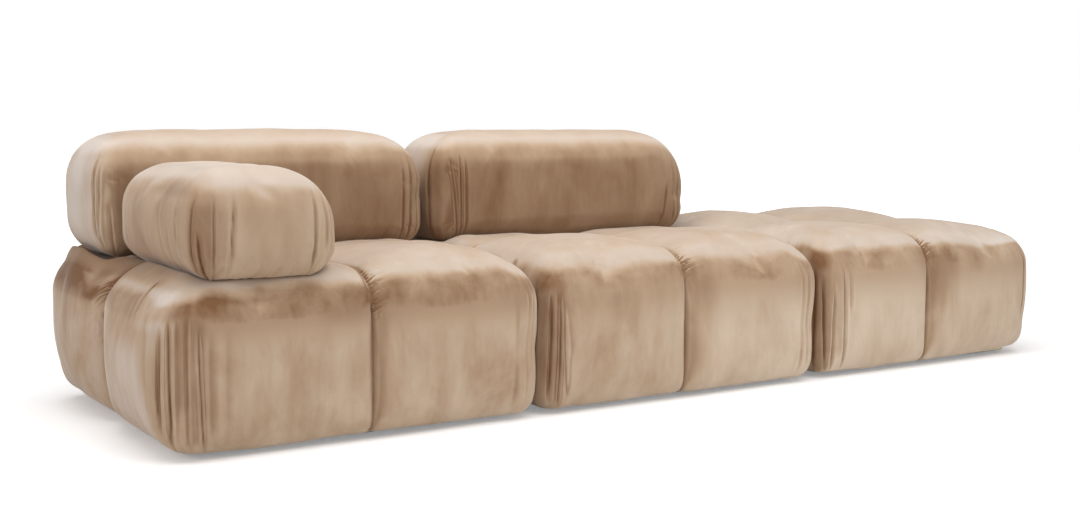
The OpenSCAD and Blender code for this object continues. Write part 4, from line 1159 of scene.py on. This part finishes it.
staples_tree = make_staples_tree()
for seed, module in enumerate(MODULES):
    lo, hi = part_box("dust_cloth_" + module)
    staples = bpy.data.objects.new("staples_" + module, bpy.data.meshes.new("staples_" + module))
    bpy.context.scene.collection.objects.link(staples)
    row = staples.modifiers.new("staples", "NODES")
    row.node_group = staples_tree
    values = {"Width": hi.x - lo.x - 2 * STAPLE_INSET, "Depth": hi.y - lo.y - 2 * STAPLE_INSET,
              "Seed": seed, "Wire": FINISHES["zinc_screw"]}
    for item in staples_tree.interface.items_tree:
        if item.name in values:
            row[item.identifier] = values[item.name]
    baked(staples)
    set_coords(staples, coords(staples) + ((lo.x + hi.x) / 2, (lo.y + hi.y) / 2, lo.z))
    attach(staples, "seat_" + module)

# Studio: a pale floor, a wide soft box overhead, and softer fills on the left and in front.
# The camera sees the room, and the floor away from the sofa, as white. The light on the sofa stays plain.
ROOM_LIGHT = 0.33
world = bpy.data.worlds.new("studio")
bpy.context.scene.world = world
world.use_nodes = True
room = world.node_tree
camera_ray = room.nodes.new("ShaderNodeLightPath").outputs["Is Camera Ray"]
strength = wired(room, "ShaderNodeMix", {0: camera_ray, 2: ROOM_LIGHT, 3: 1.0}, data_type="FLOAT")
room.links.new(strength.outputs[0], room.nodes["Background"].inputs["Strength"])
room.nodes["Background"].inputs["Color"].default_value = (1, 1, 1, 1)

FLOOR_HALF = 30
floor_mesh = bpy.data.meshes.new("floor")
floor_corners = [(x * FLOOR_HALF, y * FLOOR_HALF, 0) for x, y in ((-1, -1), (1, -1), (1, 1), (-1, 1))]
floor_mesh.from_pydata(floor_corners, [], [(0, 1, 2, 3)])
floor = bpy.data.objects.new("floor", floor_mesh)
bpy.context.scene.collection.objects.link(floor)
white = bpy.data.materials.new("white_floor")
white.use_nodes = True
tree = white.node_tree
shader = tree.nodes["Principled BSDF"]
shader.inputs["Base Color"].default_value = (0.90, 0.90, 0.90, 1)
shader.inputs["Roughness"].default_value = 0.9
shader.inputs["Specular IOR Level"].default_value = 0.0
shader.inputs["Emission Color"].default_value = (1, 1, 1, 1)
distance = wired(tree, "ShaderNodeVectorMath", {0: object_place(tree)}, operation="LENGTH").outputs["Value"]
glow = ramp(tree, distance, 2.0, 6.0, 0.25, 1.0)
glow = maths(tree, "MULTIPLY", tree.nodes.new("ShaderNodeLightPath").outputs["Is Camera Ray"], glow)
tree.links.new(glow, shader.inputs["Emission Strength"])
floor_mesh.materials.append(white)


def soft_box(name, location, aim, size, watts, colour=(1, 1, 1)):
    """A rectangular lamp that looks at a point"""
    lamp = bpy.data.lights.new(name, "AREA")
    lamp.shape = "RECTANGLE"
    lamp.size, lamp.size_y = size
    lamp.energy = watts
    lamp.color = colour
    holder = bpy.data.objects.new(name, lamp)
    holder.location = location
    holder.rotation_euler = (Vector(aim) - Vector(location)).to_track_quat("-Z", "Y").to_euler()
    bpy.context.scene.collection.objects.link(holder)


soft_box("overhead", (-0.3, -0.6, 3.0), (0, -0.2, 0.4), (5.0, 3.6), 126)
soft_box("left_fill", (-4.5, -1.5, 1.6), (-0.8, 0, 0.4), (2.5, 2.0), 36, (1.0, 0.94, 0.94))
soft_box("front_fill", (2.4, -5.6, 1.3), (0.3, -0.3, 0.3), (3.4, 2.2), 62)
bpy.context.scene.view_settings.view_transform = "Standard"
